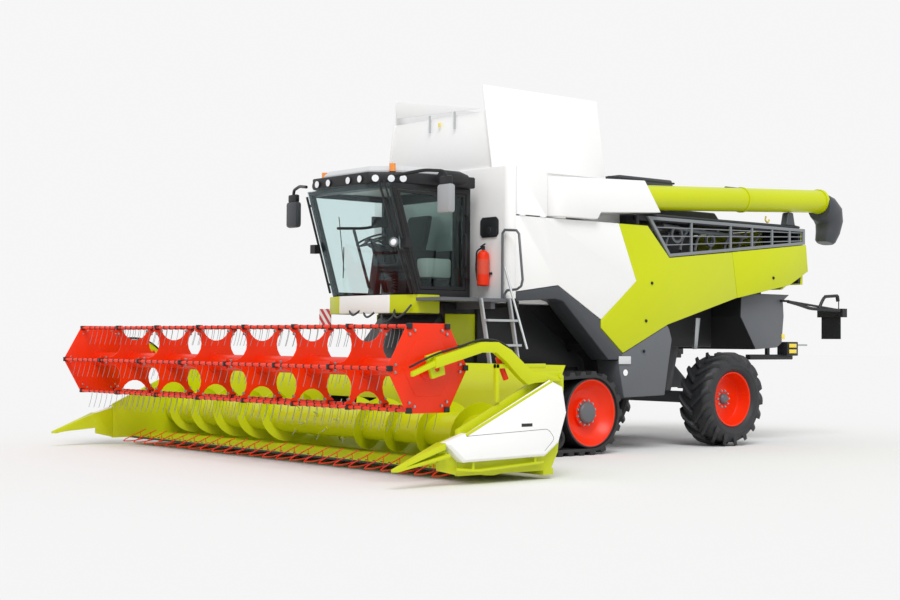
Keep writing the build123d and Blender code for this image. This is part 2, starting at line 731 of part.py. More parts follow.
def chopper_housing():
    """The dark hood over the straw chopper, open below and behind."""
    outer = at_axle([(4380, 2300), (5560, 2300), (5400, 2200), (5420, 1960), (5370, 1540), (5250, 1470),
                     (4720, 1440), (4360, 1940)])
    inner = at_axle([(4440, 2240), (5340, 2240), (5380, 1950), (5330, 1500), (5500, 1300), (4760, 1300),
                     (4700, 1520), (4420, 1960)])
    return side_plate(outer, -1300, 1300) - side_plate(inner, -1260, 1260)


def side_box():
    """The grey compartment between the track and the rear wheel."""
    outline = at_axle([(1500, 1284), (1566, 1284), (1592, 1378), (2512, 1786), (2560, 1720),
                       (2610, 1580), (2460, 780), (1620, 760)])
    return side_plate(outline, 1060, side_x - 10)


def inner_panel():
    """The plate beside the threshing body that shows inside the arch."""
    outline = at_axle([(-500, 1180), (-500, 2045), (380, 2045), (1500, 1283), (1620, 760), (1500, 760),
                       (1400, 1180)])
    return side_plate(outline, body_half, body_half + 60)


def lower_frame():
    """The cross members that carry the side boxes and the arch bands."""
    parts = []
    for s in (-1, 1):
        parts.append(block(*sorted((s * (body_half + 60), s * 1060)),
        axle_y + 1700, axle_y + 1800, 900, 1000))
        parts.append(block(*sorted((s * body_half, s * 1060)), axle_y + 2300, axle_y + 2400, 900, 1000))
        parts.append(block(*sorted((s * (body_half + 60), s * 1150)),
        axle_y + 1180, axle_y + 1280, 1400, 1500))
        bracket = block(*sorted((s * (body_half + 60), s * 1300)),
        axle_y - 300, axle_y - 200, 1990, body_top)
        parts.append(bracket + block(*sorted((s * 1151, s * 1300)), axle_y - 300, axle_y - 200, 2040, 2077))
    return parts


# Cab
def cab_side_points(inset=0.0):
    """The side of the cab as (y, z) points, drawn in by an inset."""
    slope = (pillar_foot_y - pillar_top_y) / (cab_roof_z - cab_floor)
    shift = inset * 1.05
    return [
        (pillar_foot_y + shift - slope * inset, cab_floor + inset), (cab_rear_y - inset, cab_floor + inset),
        (cab_rear_y - inset, cab_roof_z - inset),
        (pillar_top_y + shift + slope * inset, cab_roof_z - inset),
    ]


def cab_shell():
    """The floor, pillars, rails and rear wall, with every window cut."""
    floor_points = [(-cab_half, pillar_foot_y), (-0.5 * cab_half, pillar_foot_y - 0.75 * screen_bow),
                    (0.5 * cab_half, pillar_foot_y - 0.75 * screen_bow), (cab_half, pillar_foot_y),
                    (cab_half, cab_rear_y), (-cab_half, cab_rear_y)]
    shell = plan_plate(floor_points, cab_floor - cab_floor_thickness, cab_floor)
    left = side_plate(cab_side_points(),
    cab_half - 60, cab_half) - side_plate(cab_side_points(pillar_width), cab_half - 70, cab_half + 10)
    shell += left + mirrored(left)
    back = block(-cab_half, cab_half, cab_rear_y - 50, cab_rear_y, cab_floor, cab_roof_z)
    back -= block(-620, 620, cab_rear_y - 60, cab_rear_y + 10, cab_floor + 620, cab_roof_z - 120)
    rail_y = pillar_top_y + 25
    front_rail = plan_plate([(-cab_half, rail_y), (-0.5 * cab_half, rail_y - 0.7 * screen_bow),
                             (0.5 * cab_half, rail_y - 0.7 * screen_bow), (cab_half, rail_y),
                             (cab_half, rail_y + 90),
                             (-cab_half, rail_y + 90)], cab_roof_z - 60, cab_roof_z)
    return (shell + back + front_rail).fuse(*shell_hinges())


def bowed_band(y, z, bow, thickness):
    """A flat bowed strip across the cab at one height, for lofting the windscreen."""
    half = cab_half - 4
    outer = ThreePointArc((-half, y), (0, y - bow), (half, y))
    inner = ThreePointArc((-half, y + thickness), (0, y + thickness - bow), (half, y + thickness))
    edges = [outer, Line(outer @ 1, inner @ 1), inner, Line(inner @ 0, outer @ 0)]
    return Plane.XY.offset(z) * make_face(edges)


def windscreen():
    """The bowed, forward-leaning windscreen."""
    slope = (pillar_foot_y - pillar_top_y) / (cab_roof_z - cab_floor)
    low, high = cab_floor + 20, cab_roof_z
    foot = pillar_foot_y - slope * 20 - glass_thickness - 12
    head = pillar_top_y - glass_thickness - 12
    return loft([bowed_band(foot, low, screen_bow, glass_thickness),
                 bowed_band(head, high, screen_bow, glass_thickness)])


def side_glass():
    """The fixed pane on the cab's right."""
    return side_plate(cab_side_points(pillar_width + seat_gap),
    -cab_half + 20, -cab_half + 20 + glass_thickness)


def rear_glass():
    """The pane in the cab's rear wall."""
    g = seat_gap
    return block(-620 + g, 620 - g, cab_rear_y - 30, cab_rear_y - 30 + glass_thickness, cab_floor + 620 + g, cab_roof_z - 120 - g)


door_gap = 10
hinge_x = cab_half + 15
hinge_y = cab_rear_y - pillar_width - 4
hinge_pin_radius = 8
hinge_places = (cab_floor + 250, cab_roof_z - 350)


def shell_hinges():
    """The pins on the cab's rear pillar, each on a tab."""
    parts = []
    for z in hinge_places:
        parts.append(block(cab_half - 2, hinge_x + 12, hinge_y - 12, cab_rear_y - 40, z - 14, z - seat_gap))
        parts.append(rod((hinge_x, hinge_y, z - 10), (hinge_x, hinge_y, z + 60), hinge_pin_radius))
    return parts


def door_hinges():
    """The barrels on the door that turn on those pins."""
    parts = []
    for z in hinge_places:
        barrel = rod((hinge_x, hinge_y, z), (hinge_x, hinge_y, z + 55), 14)
        leaf = block(cab_half - 12, hinge_x, hinge_y - 40, hinge_y - 6, z, z + 55)
        pin = rod((hinge_x, hinge_y, z - 1), (hinge_x, hinge_y, z + 56), hinge_pin_radius + 0.8)
        parts.append(barrel + leaf - pin)
    return parts


def cab_door():
    """The left door's frame."""
    outer = side_plate(cab_side_points(pillar_width + door_gap), cab_half - 50, cab_half - 5)
    frame = outer - side_plate(cab_side_points(pillar_width + door_gap + 38), cab_half - 60, cab_half + 5)
    y, x = cab_rear_y - pillar_width - door_gap - 19, cab_half + 34
    low, high = cab_floor + 390, cab_floor + 820
    handle = railing([(cab_half - 8, y, low), (x, y, low), (x, y, high), (cab_half - 8, y, high)], 12, 20)
    return frame.fuse(*door_hinges(), handle)


def door_glass():
    """The left door's pane."""
    return side_plate(cab_side_points(pillar_width + door_gap + 38 + seat_gap),
    cab_half - 35, cab_half - 35 + glass_thickness)


def roof_plan(inset=0.0):
    """The roof's outline as (x, y) points, drawn in by an inset."""
    left = [(x - inset, axle_y + y + (inset if y < -1800 else 0) - (inset if y > -1000 else 0))
            for x, y in roof_corners]
    return left + [(-x, y) for x, y in reversed(left)]


def roof_fascia():
    """The dark band round the roof that holds the work lamps."""
    z = cab_roof_z + seat_gap
    return plan_plate(roof_plan(), z, z + roof_thickness)


def cab_roof():
    """The pale crown on the roof."""
    z = cab_roof_z + roof_thickness + 2 * seat_gap
    foot, brim = roof_plan(110), roof_plan(160)
    sections = [Plane.XY.offset(height) * Polygon(*plan, align=None)
                for height, plan in ((z, foot), (z + 35, foot), (z + crown_height, brim))]
    return loft(sections, ruled=True)


def cab_rails():
    """A bar ahead of each front pillar with a lamp on it."""
    parts = []
    lean = (pillar_top_y - pillar_foot_y) / (cab_roof_z - cab_floor)
    x = cab_half + 50
    low_z, high_z = cab_floor + 60, cab_roof_z - 60
    low_y, high_y = (pillar_foot_y + lean * (z - cab_floor) for z in (low_z, high_z))
    bar = rod((x, low_y, low_z), (x, high_y, high_z), 16)
    for z in (low_z + 120, high_z - 120):
        y = pillar_foot_y + lean * (z - cab_floor)
        bar += block(cab_half + seat_gap, x + 8, y + 4, y + 40, z - 15, z + 15)
    z = cab_floor + 660
    y = pillar_foot_y + lean * (z - cab_floor)
    bar += block(x - 20, x + 90, y - 95, y - 5, z - 60, z + 60)
    return bar


def apron_ring(z0, z1):
    """The band that wraps the front of the cab floor between two heights."""
    out, y, g = cab_half + 55, pillar_foot_y, seat_gap
    plan = [(-out, y + 340), (-out, y - 20), (-0.55 * out, y - 170), (0.55 * out, y - 170), (out, y - 20),
            (out, y + 340), (cab_half + g, y + 340), (cab_half + g, y - g),
            (0.5 * cab_half, y - 0.75 * screen_bow - g),
            (-0.5 * cab_half, y - 0.75 * screen_bow - g), (-cab_half - g, y - g), (-cab_half - g, y + 340)]
    return plan_plate(plan, z0, z1)


def cab_apron():
    """The white middle of the apron under the windscreen."""
    z0, z1 = apron_heights
    return apron_ring(z0, z1) & block(-apron_split_x, apron_split_x, pillar_foot_y - 400, pillar_foot_y, z0, z1)


def front_lime_panels():
    """The lime ends of the apron and the cheeks beside the feeder house."""
    z0, z1 = apron_heights
    end = apron_ring(z0, z1) & block(apron_split_x + 3, 2 * cab_half, pillar_foot_y - 400, pillar_foot_y + 400, z0, z1)
    cheek = side_plate(at_axle(cheek_outline), body_half + seat_gap, body_half + 22)
    return end, cheek


def platform():
    """The walkway beside the cab with its hand rail."""
    x0, x1 = cab_half + 58, side_x
    y0, y1 = pillar_foot_y - 60, tank_front_y - front_wall_depth - 2
    z0, z1 = cab_floor - 80, cab_floor - 35
    deck = block(cab_half, x1, y0 + 404, y1, z0, z1) + block(x0, x1, y0, y0 + 410, z0, z1)
    bracket = block(body_half, x1 - 60, y1 - 250, y1 - 180, z0 - 90, z0)
    y = y1 - 45
    rail = railing([(x1 - 70, y, z1 - 5), (x1 - 70, y, 3000), (x1 + 245, y, 2975), (x1 + 330, y, 2290),
                    (x1 + 260, y, 2215),
                    (x1 - 20, y, 2200), (x1 - 20, y, z1 - 5)], 17, 45)
    return deck + bracket + rail


def ladder_x(z):
    """How far out the ladder stands at a height."""
    return side_x + seat_gap + ladder_lean * (ladder_top - z) / (ladder_top - ladder_foot)


def ladder():
    """The boarding ladder outside the track, its foot leaning out."""
    y0, y1 = axle_y - 1090, axle_y - 600
    top, foot = ladder_x(ladder_top), ladder_x(ladder_foot)
    stile = [(top, ladder_top), (top + 60, ladder_top), (foot + 60, ladder_foot), (foot, ladder_foot)]
    parts = front_plate(stile, y0, y0 + 25) + front_plate(stile, y1, y1 + 25)
    for i in range(ladder_steps):
        z = ladder_foot + 40 + i * ladder_step
        parts += block(ladder_x(z) - 5, ladder_x(z) + 130, y0, y1 + 25, z, z + 30)
    return parts


# Feeder house, cutting table and reel
def feeder_house():
    """The sloping channel that carries the table, with its trunnions and the ears for the rams."""
    y, z, n = lift_y, lift_z, feeder_nose
    front = axle_y - 1995
    slope = radians(43)
    up = (y - n * sin(slope), z + n * cos(slope))
    down = (y + n * sin(slope), z - n * cos(slope))
    shell = side_plate([up, (front + 100, 880), (front, 880), (front, 215), (front + 60, 215), down],
                       -feeder_half, feeder_half)
    shell += rod((-feeder_half, y, z), (feeder_half, y, z), n)
    inner = [(y - 80, z + 120), (front - 1, 800), (front - 1, 260), (front + 150, 270), (y + 20, z - 200)]
    shell -= side_plate(inner, -feeder_half + 25, feeder_half - 25)
    shell += rod((-body_half + 12, y, z), (body_half - 12, y, z), lift_pin_radius)
    ey, ez = ram_eye
    ear = [(ey - 60, ez - 40), (ey + 60, ez - 40), (ey + 130, ez + 240), (ey - 90, ez + 60)]
    for x in (-ram_x, ram_x):
        for inside, outside in ((-60, -36), (36, 60)):
            shell += side_plate(ear, x + inside, x + outside)
        shell += rod((x - 62, ey, ez), (x + 62, ey, ez), ram_pin_radius)
    return shell


def ram_parts():
    """The two lift rams' barrels and rods, shown run in."""
    by, bz = ram_base
    ey, ez = ram_eye
    length = hypot(ey - by, ez - bz)
    barrels, rods = [], []
    for x in (-ram_x, ram_x):
        base, eye = Vector(x, by, bz), Vector(x, ey, ez)
        along = (eye - base) / length
        barrel = rod(base + along * 30, base + along * 70, 26)
        barrel += rod(base + along * 48, base + along * ram_barrel_length, ram_barrel_radius)
        barrel += rod((x - 28, by, bz), (x + 28, by, bz), 48)
        barrel -= rod((x - 30, by, bz), (x + 30, by, bz), ram_pin_radius + seat_gap)
        barrel -= rod(base + along * 120, base + along * (ram_barrel_length + 1), ram_rod_radius + seat_gap)
        barrels.append(barrel)
        shaft = rod(base + along * 150, base + along * (length - 40), ram_rod_radius)
        ring = rod((x - 28, ey, ez), (x + 28, ey, ez), 48)
        rods.append(shaft + ring - rod((x - 30, ey, ez), (x + 30, ey, ez), ram_pin_radius + eye_drift))
    return barrels, rods


pan_top = [(-3090, 112), (-2950, 112), (-2680, 148), (-2230, 148), (-2062, 300), (-2040, 1010),
           (-1905, 1270)]
pan_bottom = [(-1875, 1270), (-2010, 1000), (-2035, 285), (-2215, 120), (-2670, 120), (-2950, 84),
              (-3090, 92)]


def table_frame():
    """The pan, back wall, beams and end walls, with the mouth to the feeder house."""
    across = -table_half - end_wall, table_half + end_wall
    pan = side_plate(at_axle(pan_top + pan_bottom), *across)
    beam = block(*across, axle_y - 2015, axle_y - 1945, 905, 1010)
    low = block(*across, axle_y - 2210, axle_y - 2060, 50, 121)
    flange = block(-feeder_half, feeder_half, axle_y - 2036, axle_y - 1995 - seat_gap, 215, 880)
    frame = pan + beam + low + flange
    frame -= block(-600, 600, axle_y - 2130, axle_y - 1990, 262, 800)
    wall = side_plate(at_axle(end_outline), table_half, table_half + end_wall)
    pivot = rod((table_half, arm_pivot_y, arm_pivot_z),
                (arm_in_x + arm_width + 12, arm_pivot_y, arm_pivot_z), 24)
    frame += wall + mirrored(wall) + pivot + mirrored(pivot)
    for x in (-feeder_half - 90, feeder_half + 40):
        frame += block(x, x + 50, axle_y - 2030, axle_y - 1990, 250, 920)
    boss = rod((table_half - 18, table_auger_y, table_auger_z),
               (table_half + 1, table_auger_y, table_auger_z), 60)
    return frame + boss + mirrored(boss)


def cutter_bar():
    """The finger bar with its pointed fingers."""
    count = int(2 * (table_half - 40) / finger_pitch)
    comb = [(-table_half + 1, knife_y + 60), (-table_half + 1, knife_y)]
    for i in range(count):
        x = (i + 0.5 - count / 2) * finger_pitch
        comb += [(x - 22, knife_y), (x, knife_y - 105), (x + 22, knife_y)]
    comb += [(table_half - 1, knife_y), (table_half - 1, knife_y + 60)]
    return plan_plate(comb, knife_z - 9, knife_z + 5)


def crop_lifters():
    """The sprung lifters that stand on the finger bar and reach ahead of it."""
    outline = at_axle([(-3632, 48), (-3180, 76), (-3152, 110 + seat_gap), (-3100, 110 + seat_gap),
                       (-3100, 126),
                       (-3170, 126), (-3540, 78), (-3170, 318), (-3180, 334), (-3632, 66)])
    return [side_plate(outline, x - 8, x + 8) for x in lifter_places()]


def lifter_places():
    """Where the crop lifters stand across the table."""
    return [(i - (lifter_count - 1) / 2) * lifter_pitch for i in range(lifter_count)]


def table_shields():
    """The white covers outside the end walls, open above for the reel arm, with a skid tube below."""
    x0 = table_half + end_wall
    shield = side_plate(at_axle(shield_outline), x0, shield_out_x)
    outer = shield.faces().sort_by(Axis.X)[-1]
    shield = chamfer(outer.edges(), 30)
    shield -= side_plate(at_axle(shield_hollow), x0 - 1, shield_out_x - 35)
    middle = (x0 + shield_out_x) / 2
    tube = railing([(middle, axle_y - 3530, 175), (middle, axle_y - 3230, 150),
                    (middle, axle_y - 2280, 200)], 20, 30)
    for y, z in ((-3300, 150), (-2400, 190)):
        tube += block(middle - 12, middle + 12, axle_y + y - 15, axle_y + y + 15, z, 300)
    return shield + tube


def crop_divider():
    """The pointed divider ahead of an end wall: two beams that meet at the tip, and a sheet inside them."""
    x0, x1 = table_half + 8, shield_out_x - 8
    y0, tip = axle_y - 3722, divider_tip_y
    middle, z = (x0 + x1) / 2, divider_tip_z
    beams = side_plate([(tip, z - 12), (tip, z + 14), (y0, 466), (y0, 400), (tip + 150, z + 34),
                        (y0 + 60, 352), (y0 + 72, 318), (tip + 60, z - 14)], x0, x1)
    sheet = side_plate([(tip + 20, z - 4), (tip + 20, z + 12), (y0, 460), (y0, 250)], x0, x0 + 110)
    taper = plan_plate([(x0, y0 + 100), (x1, y0 + 100), (x1, y0), (middle + 16, tip),
                        (middle - 16, tip), (x0, y0)],
                       0, 600)
    heel = side_plate(at_axle([(-3723, 170), (-3462, 110), (-3462, 535),
                               (-3723, 462)]), x0, table_half + end_wall - seat_gap)
    inside = plan_plate([(x0, y0 + 50), (x0 + 16, y0 + 50), (x0 + 16, y0), (middle - 4, tip),
                         (middle - 16, tip), (x0, y0)],
                        0, 600)
    return (beams & taper) + (sheet & inside) + heel


def table_auger():
    """The intake auger: a tube with right and left handed flights and fingers between them."""
    y, z = table_auger_y, table_auger_z
    half = table_half - 18 - seat_gap
    tube = rod((-half, y, z), (half, y, z), table_tube_radius)
    reach = table_auger_radius - 30
    for i in range(auger_fingers):
        x = (i - (auger_fingers - 1) / 2) * 120
        turn = radians(i * 137)
        tube += rod((x, y, z), (x, y + reach * cos(turn), z + reach * sin(turn)), 8)
    run = half - 620
    return [tube, flight(10 - half, run, 1), flight(half - 10, -run, 1)]


def flight(start_x, run, hand):
    """A helical flight in flat facets, a little clear of the tube."""
    inside = (table_tube_radius + seat_gap) / cos(pi / flight_sides)
    steps = round(abs(run) / flight_pitch * flight_sides)
    half = flight_thickness / 2
    rings = []
    for i in range(steps + 1):
        x = start_x + i * run / steps
        turn = hand * 2 * pi * i / flight_sides
        corners = (-half, inside), (half, inside), (half, table_auger_radius), (-half, table_auger_radius)
        rings.append([(x + across, table_auger_y + radius * cos(turn), table_auger_z + radius * sin(turn))
                      for across, radius in corners])
    return skinned(rings)


def spider_outline():
    """A reel plate's six sides, each with a round bite out of it, as (y, z) points."""
    radius = reel_rim * reel_radius
    outline = []
    for i in range(6):
        a = i * pi / 3
        outline.append((reel_y + radius * cos(a), reel_z + radius * sin(a)))
        middle = a + pi / 6
        my, mz = radius * cos(pi / 6) * cos(middle), radius * cos(pi / 6) * sin(middle)
        for k in range(4):
            turn = middle - pi / 2 - k * pi / 3
            outline.append((reel_y + my + scallop_radius * cos(turn),
            reel_z + mz + scallop_radius * sin(turn)))
    return outline


def reel():
    """The reel: tube, plates, tine bars and tines, all turning together."""
    y, z = reel_y, reel_z
    parts = [rod((-arm_in_x + 5, y, z), (-reel_half, y, z), 34), rod((reel_half, y, z),
             (arm_in_x - 5, y, z), 34)]
    corners = [(y + reel_radius * cos(i * pi / 3), z + reel_radius * sin(i * pi / 3)) for i in range(6)]
    plate = [(y + reel_rim * (cy - y), z + reel_rim * (cz - z)) for cy, cz in corners]
    for x in (-reel_half, reel_half - plate_thickness):
        parts.append(side_plate(plate, x, x + plate_thickness))
    for x in spider_places():
        parts.append(side_plate(spider_outline(), x - plate_thickness / 2, x + plate_thickness / 2))
    count = int((2 * reel_half - 120) / tine_pitch)
    for cy, cz in corners:
        bar = Plane.YZ.offset(-reel_half) * Pos(cy, cz) * RegularPolygon(tine_bar_radius, 6)
        parts.append(extrude(bar, amount=2 * reel_half, dir=(1, 0, 0)))
        comb = [(-reel_half + 20, cz), (reel_half - 20, cz), (reel_half - 20, cz - 12)]
        for i in reversed(range(count)):
            x = (i - (count - 1) / 2) * tine_pitch + 0.25 * tine_pitch
            comb += [(x + 12, cz - 12), (x, cz - tine_length), (x - 12, cz - 12)]
        comb += [(-reel_half + 20, cz - 12)]
        parts.append(front_plate(comb, cy - 5, cy + 5))
    tube = extrude(Plane.YZ.offset(-reel_half) * Pos(y, z) * RegularPolygon(reel_tube_radius, 12),
                   amount=2 * reel_half, dir=(1, 0, 0))
    return tube.fuse(*parts)


def spider_places():
    """Where the plates stand between the reel's ends."""
    step = 2 * reel_half / (spider_count + 1)
    return [-reel_half + (i + 1) * step for i in range(spider_count)]


def reel_arm():
    """One of the two arms that carry the reel, slimmer ahead of the reel's slide."""
    arm = side_plate(at_axle(arm_outline), arm_in_x, arm_in_x + arm_width)
    slim = side_plate(at_axle(arm_front_outline), arm_in_x + 12, arm_in_x + arm_width - 12)
    hole = rod((arm_in_x - 1, arm_pivot_y, arm_pivot_z),
               (arm_in_x + arm_width + 1, arm_pivot_y, arm_pivot_z), 24 + seat_gap)
    return arm + slim - hole


def reel_carrier():
    """The slide that clasps an arm and holds the reel's bearing."""
    lean = radians(slide_slope)
    outline = [(reel_y + a * cos(lean) - b * sin(lean), reel_z + a * sin(lean) + b * cos(lean))
               for a, b in ((-90, -90), (90, -90), (110, 165), (-110, 165))]
    plate = side_plate(outline, arm_in_x - 45, arm_in_x - seat_gap)
    return plate - rod((arm_in_x - 60, reel_y, reel_z), (arm_in_x, reel_y, reel_z), 34 + seat_gap)


# Cab fittings and lamps
def seat():
    """The driver's seat: base, cushion and backrest as one upholstered piece."""
    y = axle_y - 1180
    z = cab_floor
    piece = block(-180, 180, y - 170, y + 170, z, z + 330)
    piece += block(-260, 260, y - 260, y + 240, z + 330, z + 450)
    piece += side_plate([(y + 130, z + 440), (y + 250, z + 440), (y + 330, z + 1120),
                         (y + 240, z + 1120)], -250, 250)
    return piece


def console():
    """The steering column with its wheel, and the arm console beside the seat."""
    y, z = axle_y - 1640, cab_floor
    column = side_plate([(y - 60, z), (y + 40, z), (y + 110, z + 660), (y + 40, z + 690)], -70, 70)
    lean = Plane(origin=(0, y + 80, z + 665), z_dir=(0, 0.42, 1))
    ring = extrude(lean * (RegularPolygon(215, 16) - RegularPolygon(187, 16)), amount=26)
    spokes = lean * Pos(0, 0, 10) * (Box(390, 34, 14) + Box(90, 90, 30))
    arm = block(290, 470, axle_y - 1470, axle_y - 960, z, z + 620)
    return column + ring + spokes, arm


def lamps():
    """Work lamps round the roof's front corners, and the beacons on the crown."""
    z = cab_roof_z + seat_gap + 62
    solids = []
    for x, y, turn in lamp_table:
        aim = Vector(sin(radians(turn)), -cos(radians(turn)), 0)
        place = Plane(origin=Vector(x, axle_y + y, z) + aim * seat_gap, z_dir=aim)
        lamp = extrude(place * RegularPolygon(lamp_radius, 12), amount=26)
        solids += [lamp, mirrored(lamp)]
    x, y = beacon_place
    foot = Plane.XY.offset(cab_roof_z + roof_thickness + 2 * seat_gap) * Pos(x, axle_y + y) * RegularPolygon(beacon_radius, 12)
    beacon = extrude(foot, amount=115, dir=(0, 0, 1))
    solids += [beacon, mirrored(beacon)]
    return solids


def mirror_piece():
    """A mirror hanging from an arm on the roof's edge."""
    x, y, z = mirror_x, mirror_y, cab_roof_z + 75
    head = block(x - 65, x + 65, y - 35, y + 35, 3120, 3600)
    root = (roof_corners[1][0] + 4.2, y + 16, z)
    return head + railing([root, (x, y, z), (x, y, 3590)], 14, 30)


def warning_board():
    """The blank board that marks the machine's width, on its arm."""
    x0, y, (z0, z1) = -cab_half - 55 - seat_gap, pillar_foot_y + 60, apron_heights
    arm = block(-1340, x0, y, y + 25, z0 + 20, z0 + 60)
    return arm + block(-1340, -1060, y - 8, y + 1, z0 - 200, z0 + 80)


def extinguisher():
    """The fire extinguisher on the front wall."""
    y = tank_front_y - front_wall_depth - 70
    body = Pos(1090, y, 2420) * Cylinder(62, 380)
    neck = Pos(1090, y, 2640) * Cylinder(22, 60)
    strap = block(1060, 1120, y + 40, y + 70 - seat_gap, 2380, 2440)
    return body + neck + strap


def lamp_arm():
    """A rear lamp and its reflector on an arm behind the tail panel."""
    end_y = axle_y + rear_reach
    back, hook_y, flap_y = end_y - lamp_depth, end_y - lamp_depth - 50, end_y - lamp_depth + 20
    points = [(1300 + seat_gap, axle_y + 5330, 2200), (1400, axle_y + 5330, 2200), (1400, back + 10, 2075)]
    arm = railing(points, 18, 60)
    arm += railing([(1400, hook_y, 2080), (1400, hook_y, 2320), (1120, hook_y, 2320)], 9, 50)
    lamp = block(940, 1440, back, end_y, 1965, 2105)
    flap = block(1010, 1380, flap_y, flap_y + 16, 1610, 1970)
    return arm + lamp + flap


nodes = {}


def keep(name, *shapes):
    """Adds a node made of one or more solids."""
    nodes[name] = [solid for shape in shapes for solid in shape.solids()]


def keep_both(name, *shapes):
    """Adds one node that holds the left pieces and their mirror images."""
    keep(name, *shapes, *[mirrored(shape) for shape in shapes])


def keep_pair(name, *shapes):
    """Adds a node on the left and its mirror image on the right."""
    keep(name + "_left", *shapes)
    keep(name + "_right", *[mirrored(shape) for shape in shapes])


def build_all():
    keep_both("track_belts", track_belt())
    keep_both("track_wheels", *track_wheels())
    keep("front_axle", front_axle())
    keep_pair("tyre", tyre())
    keep_pair("rim", rim())
    keep_pair("knuckle", knuckle())
    keep("rear_axle", rear_axle())
    keep("rear_hitch", rear_hitch())
    keep("threshing_body", threshing_body())
    keep("grain_tank", grain_tank())
    keep("front_wall", front_wall())
    flap = tank_flaps()
    ends = [tank_end_panel(flap_front_y + y) for y in (20, flap_length - 50)]
    keep("tank_flaps", flap, mirrored(flap), *ends)
    keep("elbow_cover", elbow_cover() + auger_turret())
    keep("auger_tube", auger_tube())
    keep("auger_spout", auger_spout())
    white, lime = side_doors()
    keep_pair("door_white", white)
    keep_pair("door_lime", lime)
    keep_both("arch_bands", arch_band())
    corner = tail_panel()
    keep("tail_panels", corner, mirrored(corner), rear_wall())
    keep_both("side_grilles", side_grille())
    keep("side_frames", *upper_frame(), *lower_frame())
    keep("engine", engine())
    keep("engine_deck", engine_deck())
    keep("chopper_housing", chopper_housing())
    keep_both("side_boxes", side_box(), inner_panel())
    keep("cab_shell", cab_shell())
    keep("cab_glass", windscreen(), side_glass(), rear_glass())
    keep("cab_door", cab_door())
    keep("door_glass", door_glass())
    keep("roof_fascia", roof_fascia())
    keep("cab_roof", cab_roof())
    keep_both("cab_rails", cab_rails())
    keep("cab_apron", cab_apron())
    keep_both("front_lime_panels", *front_lime_panels())
    keep("warning_board", warning_board())
    keep("seat", seat())
    keep("console", *console())
    keep("lamps", *lamps())
    keep_both("mirrors", mirror_piece())
    keep("platform", platform())
    keep("ladder", ladder())
    keep("extinguisher", extinguisher())
    keep_both("lamp_arms", lamp_arm())
    keep("feeder_house", feeder_house())
    barrels, rods = ram_parts()
    keep("ram_barrels", *barrels)
    keep("ram_rods", *rods)
    keep("table_frame", table_frame())
    keep("cutter_bar", cutter_bar())
    keep("crop_lifters", *crop_lifters())
    keep_both("table_shields", table_shields())
    keep_both("crop_dividers", crop_divider())
    keep("table_auger", *table_auger())
    keep_both("reel_arms", reel_arm())
    keep_both("reel_carriers", reel_carrier())
    keep("reel", reel())


if __name__ == "__main__":
    build_all()
    os.makedirs("parts", exist_ok=True)
    for name, solids in nodes.items():
        export_step(Compound(solids), os.path.join("parts", name + ".step"))
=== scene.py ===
import json
import math

import bmesh
import bpy
from mathutils import Matrix, Vector


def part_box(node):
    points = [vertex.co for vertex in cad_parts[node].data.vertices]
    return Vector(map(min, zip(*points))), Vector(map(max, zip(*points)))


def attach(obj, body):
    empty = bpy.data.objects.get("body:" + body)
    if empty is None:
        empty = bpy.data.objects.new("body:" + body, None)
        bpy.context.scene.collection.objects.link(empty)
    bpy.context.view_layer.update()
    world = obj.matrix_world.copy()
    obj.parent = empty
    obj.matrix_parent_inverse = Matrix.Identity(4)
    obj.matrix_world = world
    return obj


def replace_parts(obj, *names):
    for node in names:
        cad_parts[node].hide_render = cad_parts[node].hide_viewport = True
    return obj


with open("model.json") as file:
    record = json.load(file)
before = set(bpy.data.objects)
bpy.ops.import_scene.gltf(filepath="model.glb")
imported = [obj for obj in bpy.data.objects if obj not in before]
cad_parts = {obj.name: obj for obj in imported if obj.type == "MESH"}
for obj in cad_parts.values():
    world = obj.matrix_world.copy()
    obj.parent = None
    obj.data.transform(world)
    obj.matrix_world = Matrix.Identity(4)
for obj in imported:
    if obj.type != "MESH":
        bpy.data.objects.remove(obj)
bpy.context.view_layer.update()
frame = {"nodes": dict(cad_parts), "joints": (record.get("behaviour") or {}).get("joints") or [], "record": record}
cad = frame["nodes"]
bodyOf = {node: body for body, nodes in frame["record"]["behaviour"]["bodies"].items() for node in nodes}
pivots = {joint["name"]: joint["pos_m"] for joint in frame["joints"] if "pos_m" in joint}
reelPlace = Vector(pivots["reel_spin"])
augerPlace = Vector(pivots["intake_auger_spin"])
wheelPlace = Vector(pivots["wheel_left_spin"])
unloaderPlace = Vector(pivots["auger_swing"])
wheelbase = 3.86
frontAxle = wheelPlace.y - wheelbase
print("frame loaded:", len(cad), "nodes")


def behind(distance):  # a place along the machine, measured back from the front axle
    return frontAxle + distance


# Shader maths reads as Python on this class
class Value:
    def __init__(self, tree, socket):
        self.tree = tree
        self.socket = socket

    def maths(self, operation, other=0.0, swapped=False):
        node = self.tree.nodes.new("ShaderNodeMath")
        node.operation = operation
        pair = (other, self) if swapped else (self, other)
        for place, item in enumerate(pair):
            if isinstance(item, Value):
                self.tree.links.new(item.socket, node.inputs[place])
            else:
                node.inputs[place].default_value = item
        return Value(self.tree, node.outputs[0])

    def __add__(self, other):
        return self.maths("ADD", other)

    def __radd__(self, other):
        return self.maths("ADD", other, True)

    def __sub__(self, other):
        return self.maths("SUBTRACT", other)

    def __rsub__(self, other):
        return self.maths("SUBTRACT", other, True)

    def __mul__(self, other):
        return self.maths("MULTIPLY", other)

    def __rmul__(self, other):
        return self.maths("MULTIPLY", other, True)

    def __truediv__(self, other):
        return self.maths("DIVIDE", other)

    def __gt__(self, other):
        return self.maths("GREATER_THAN", other)

    def clamped(self):
        return self.maths("MAXIMUM", 0.0).maths("MINIMUM", 1.0)


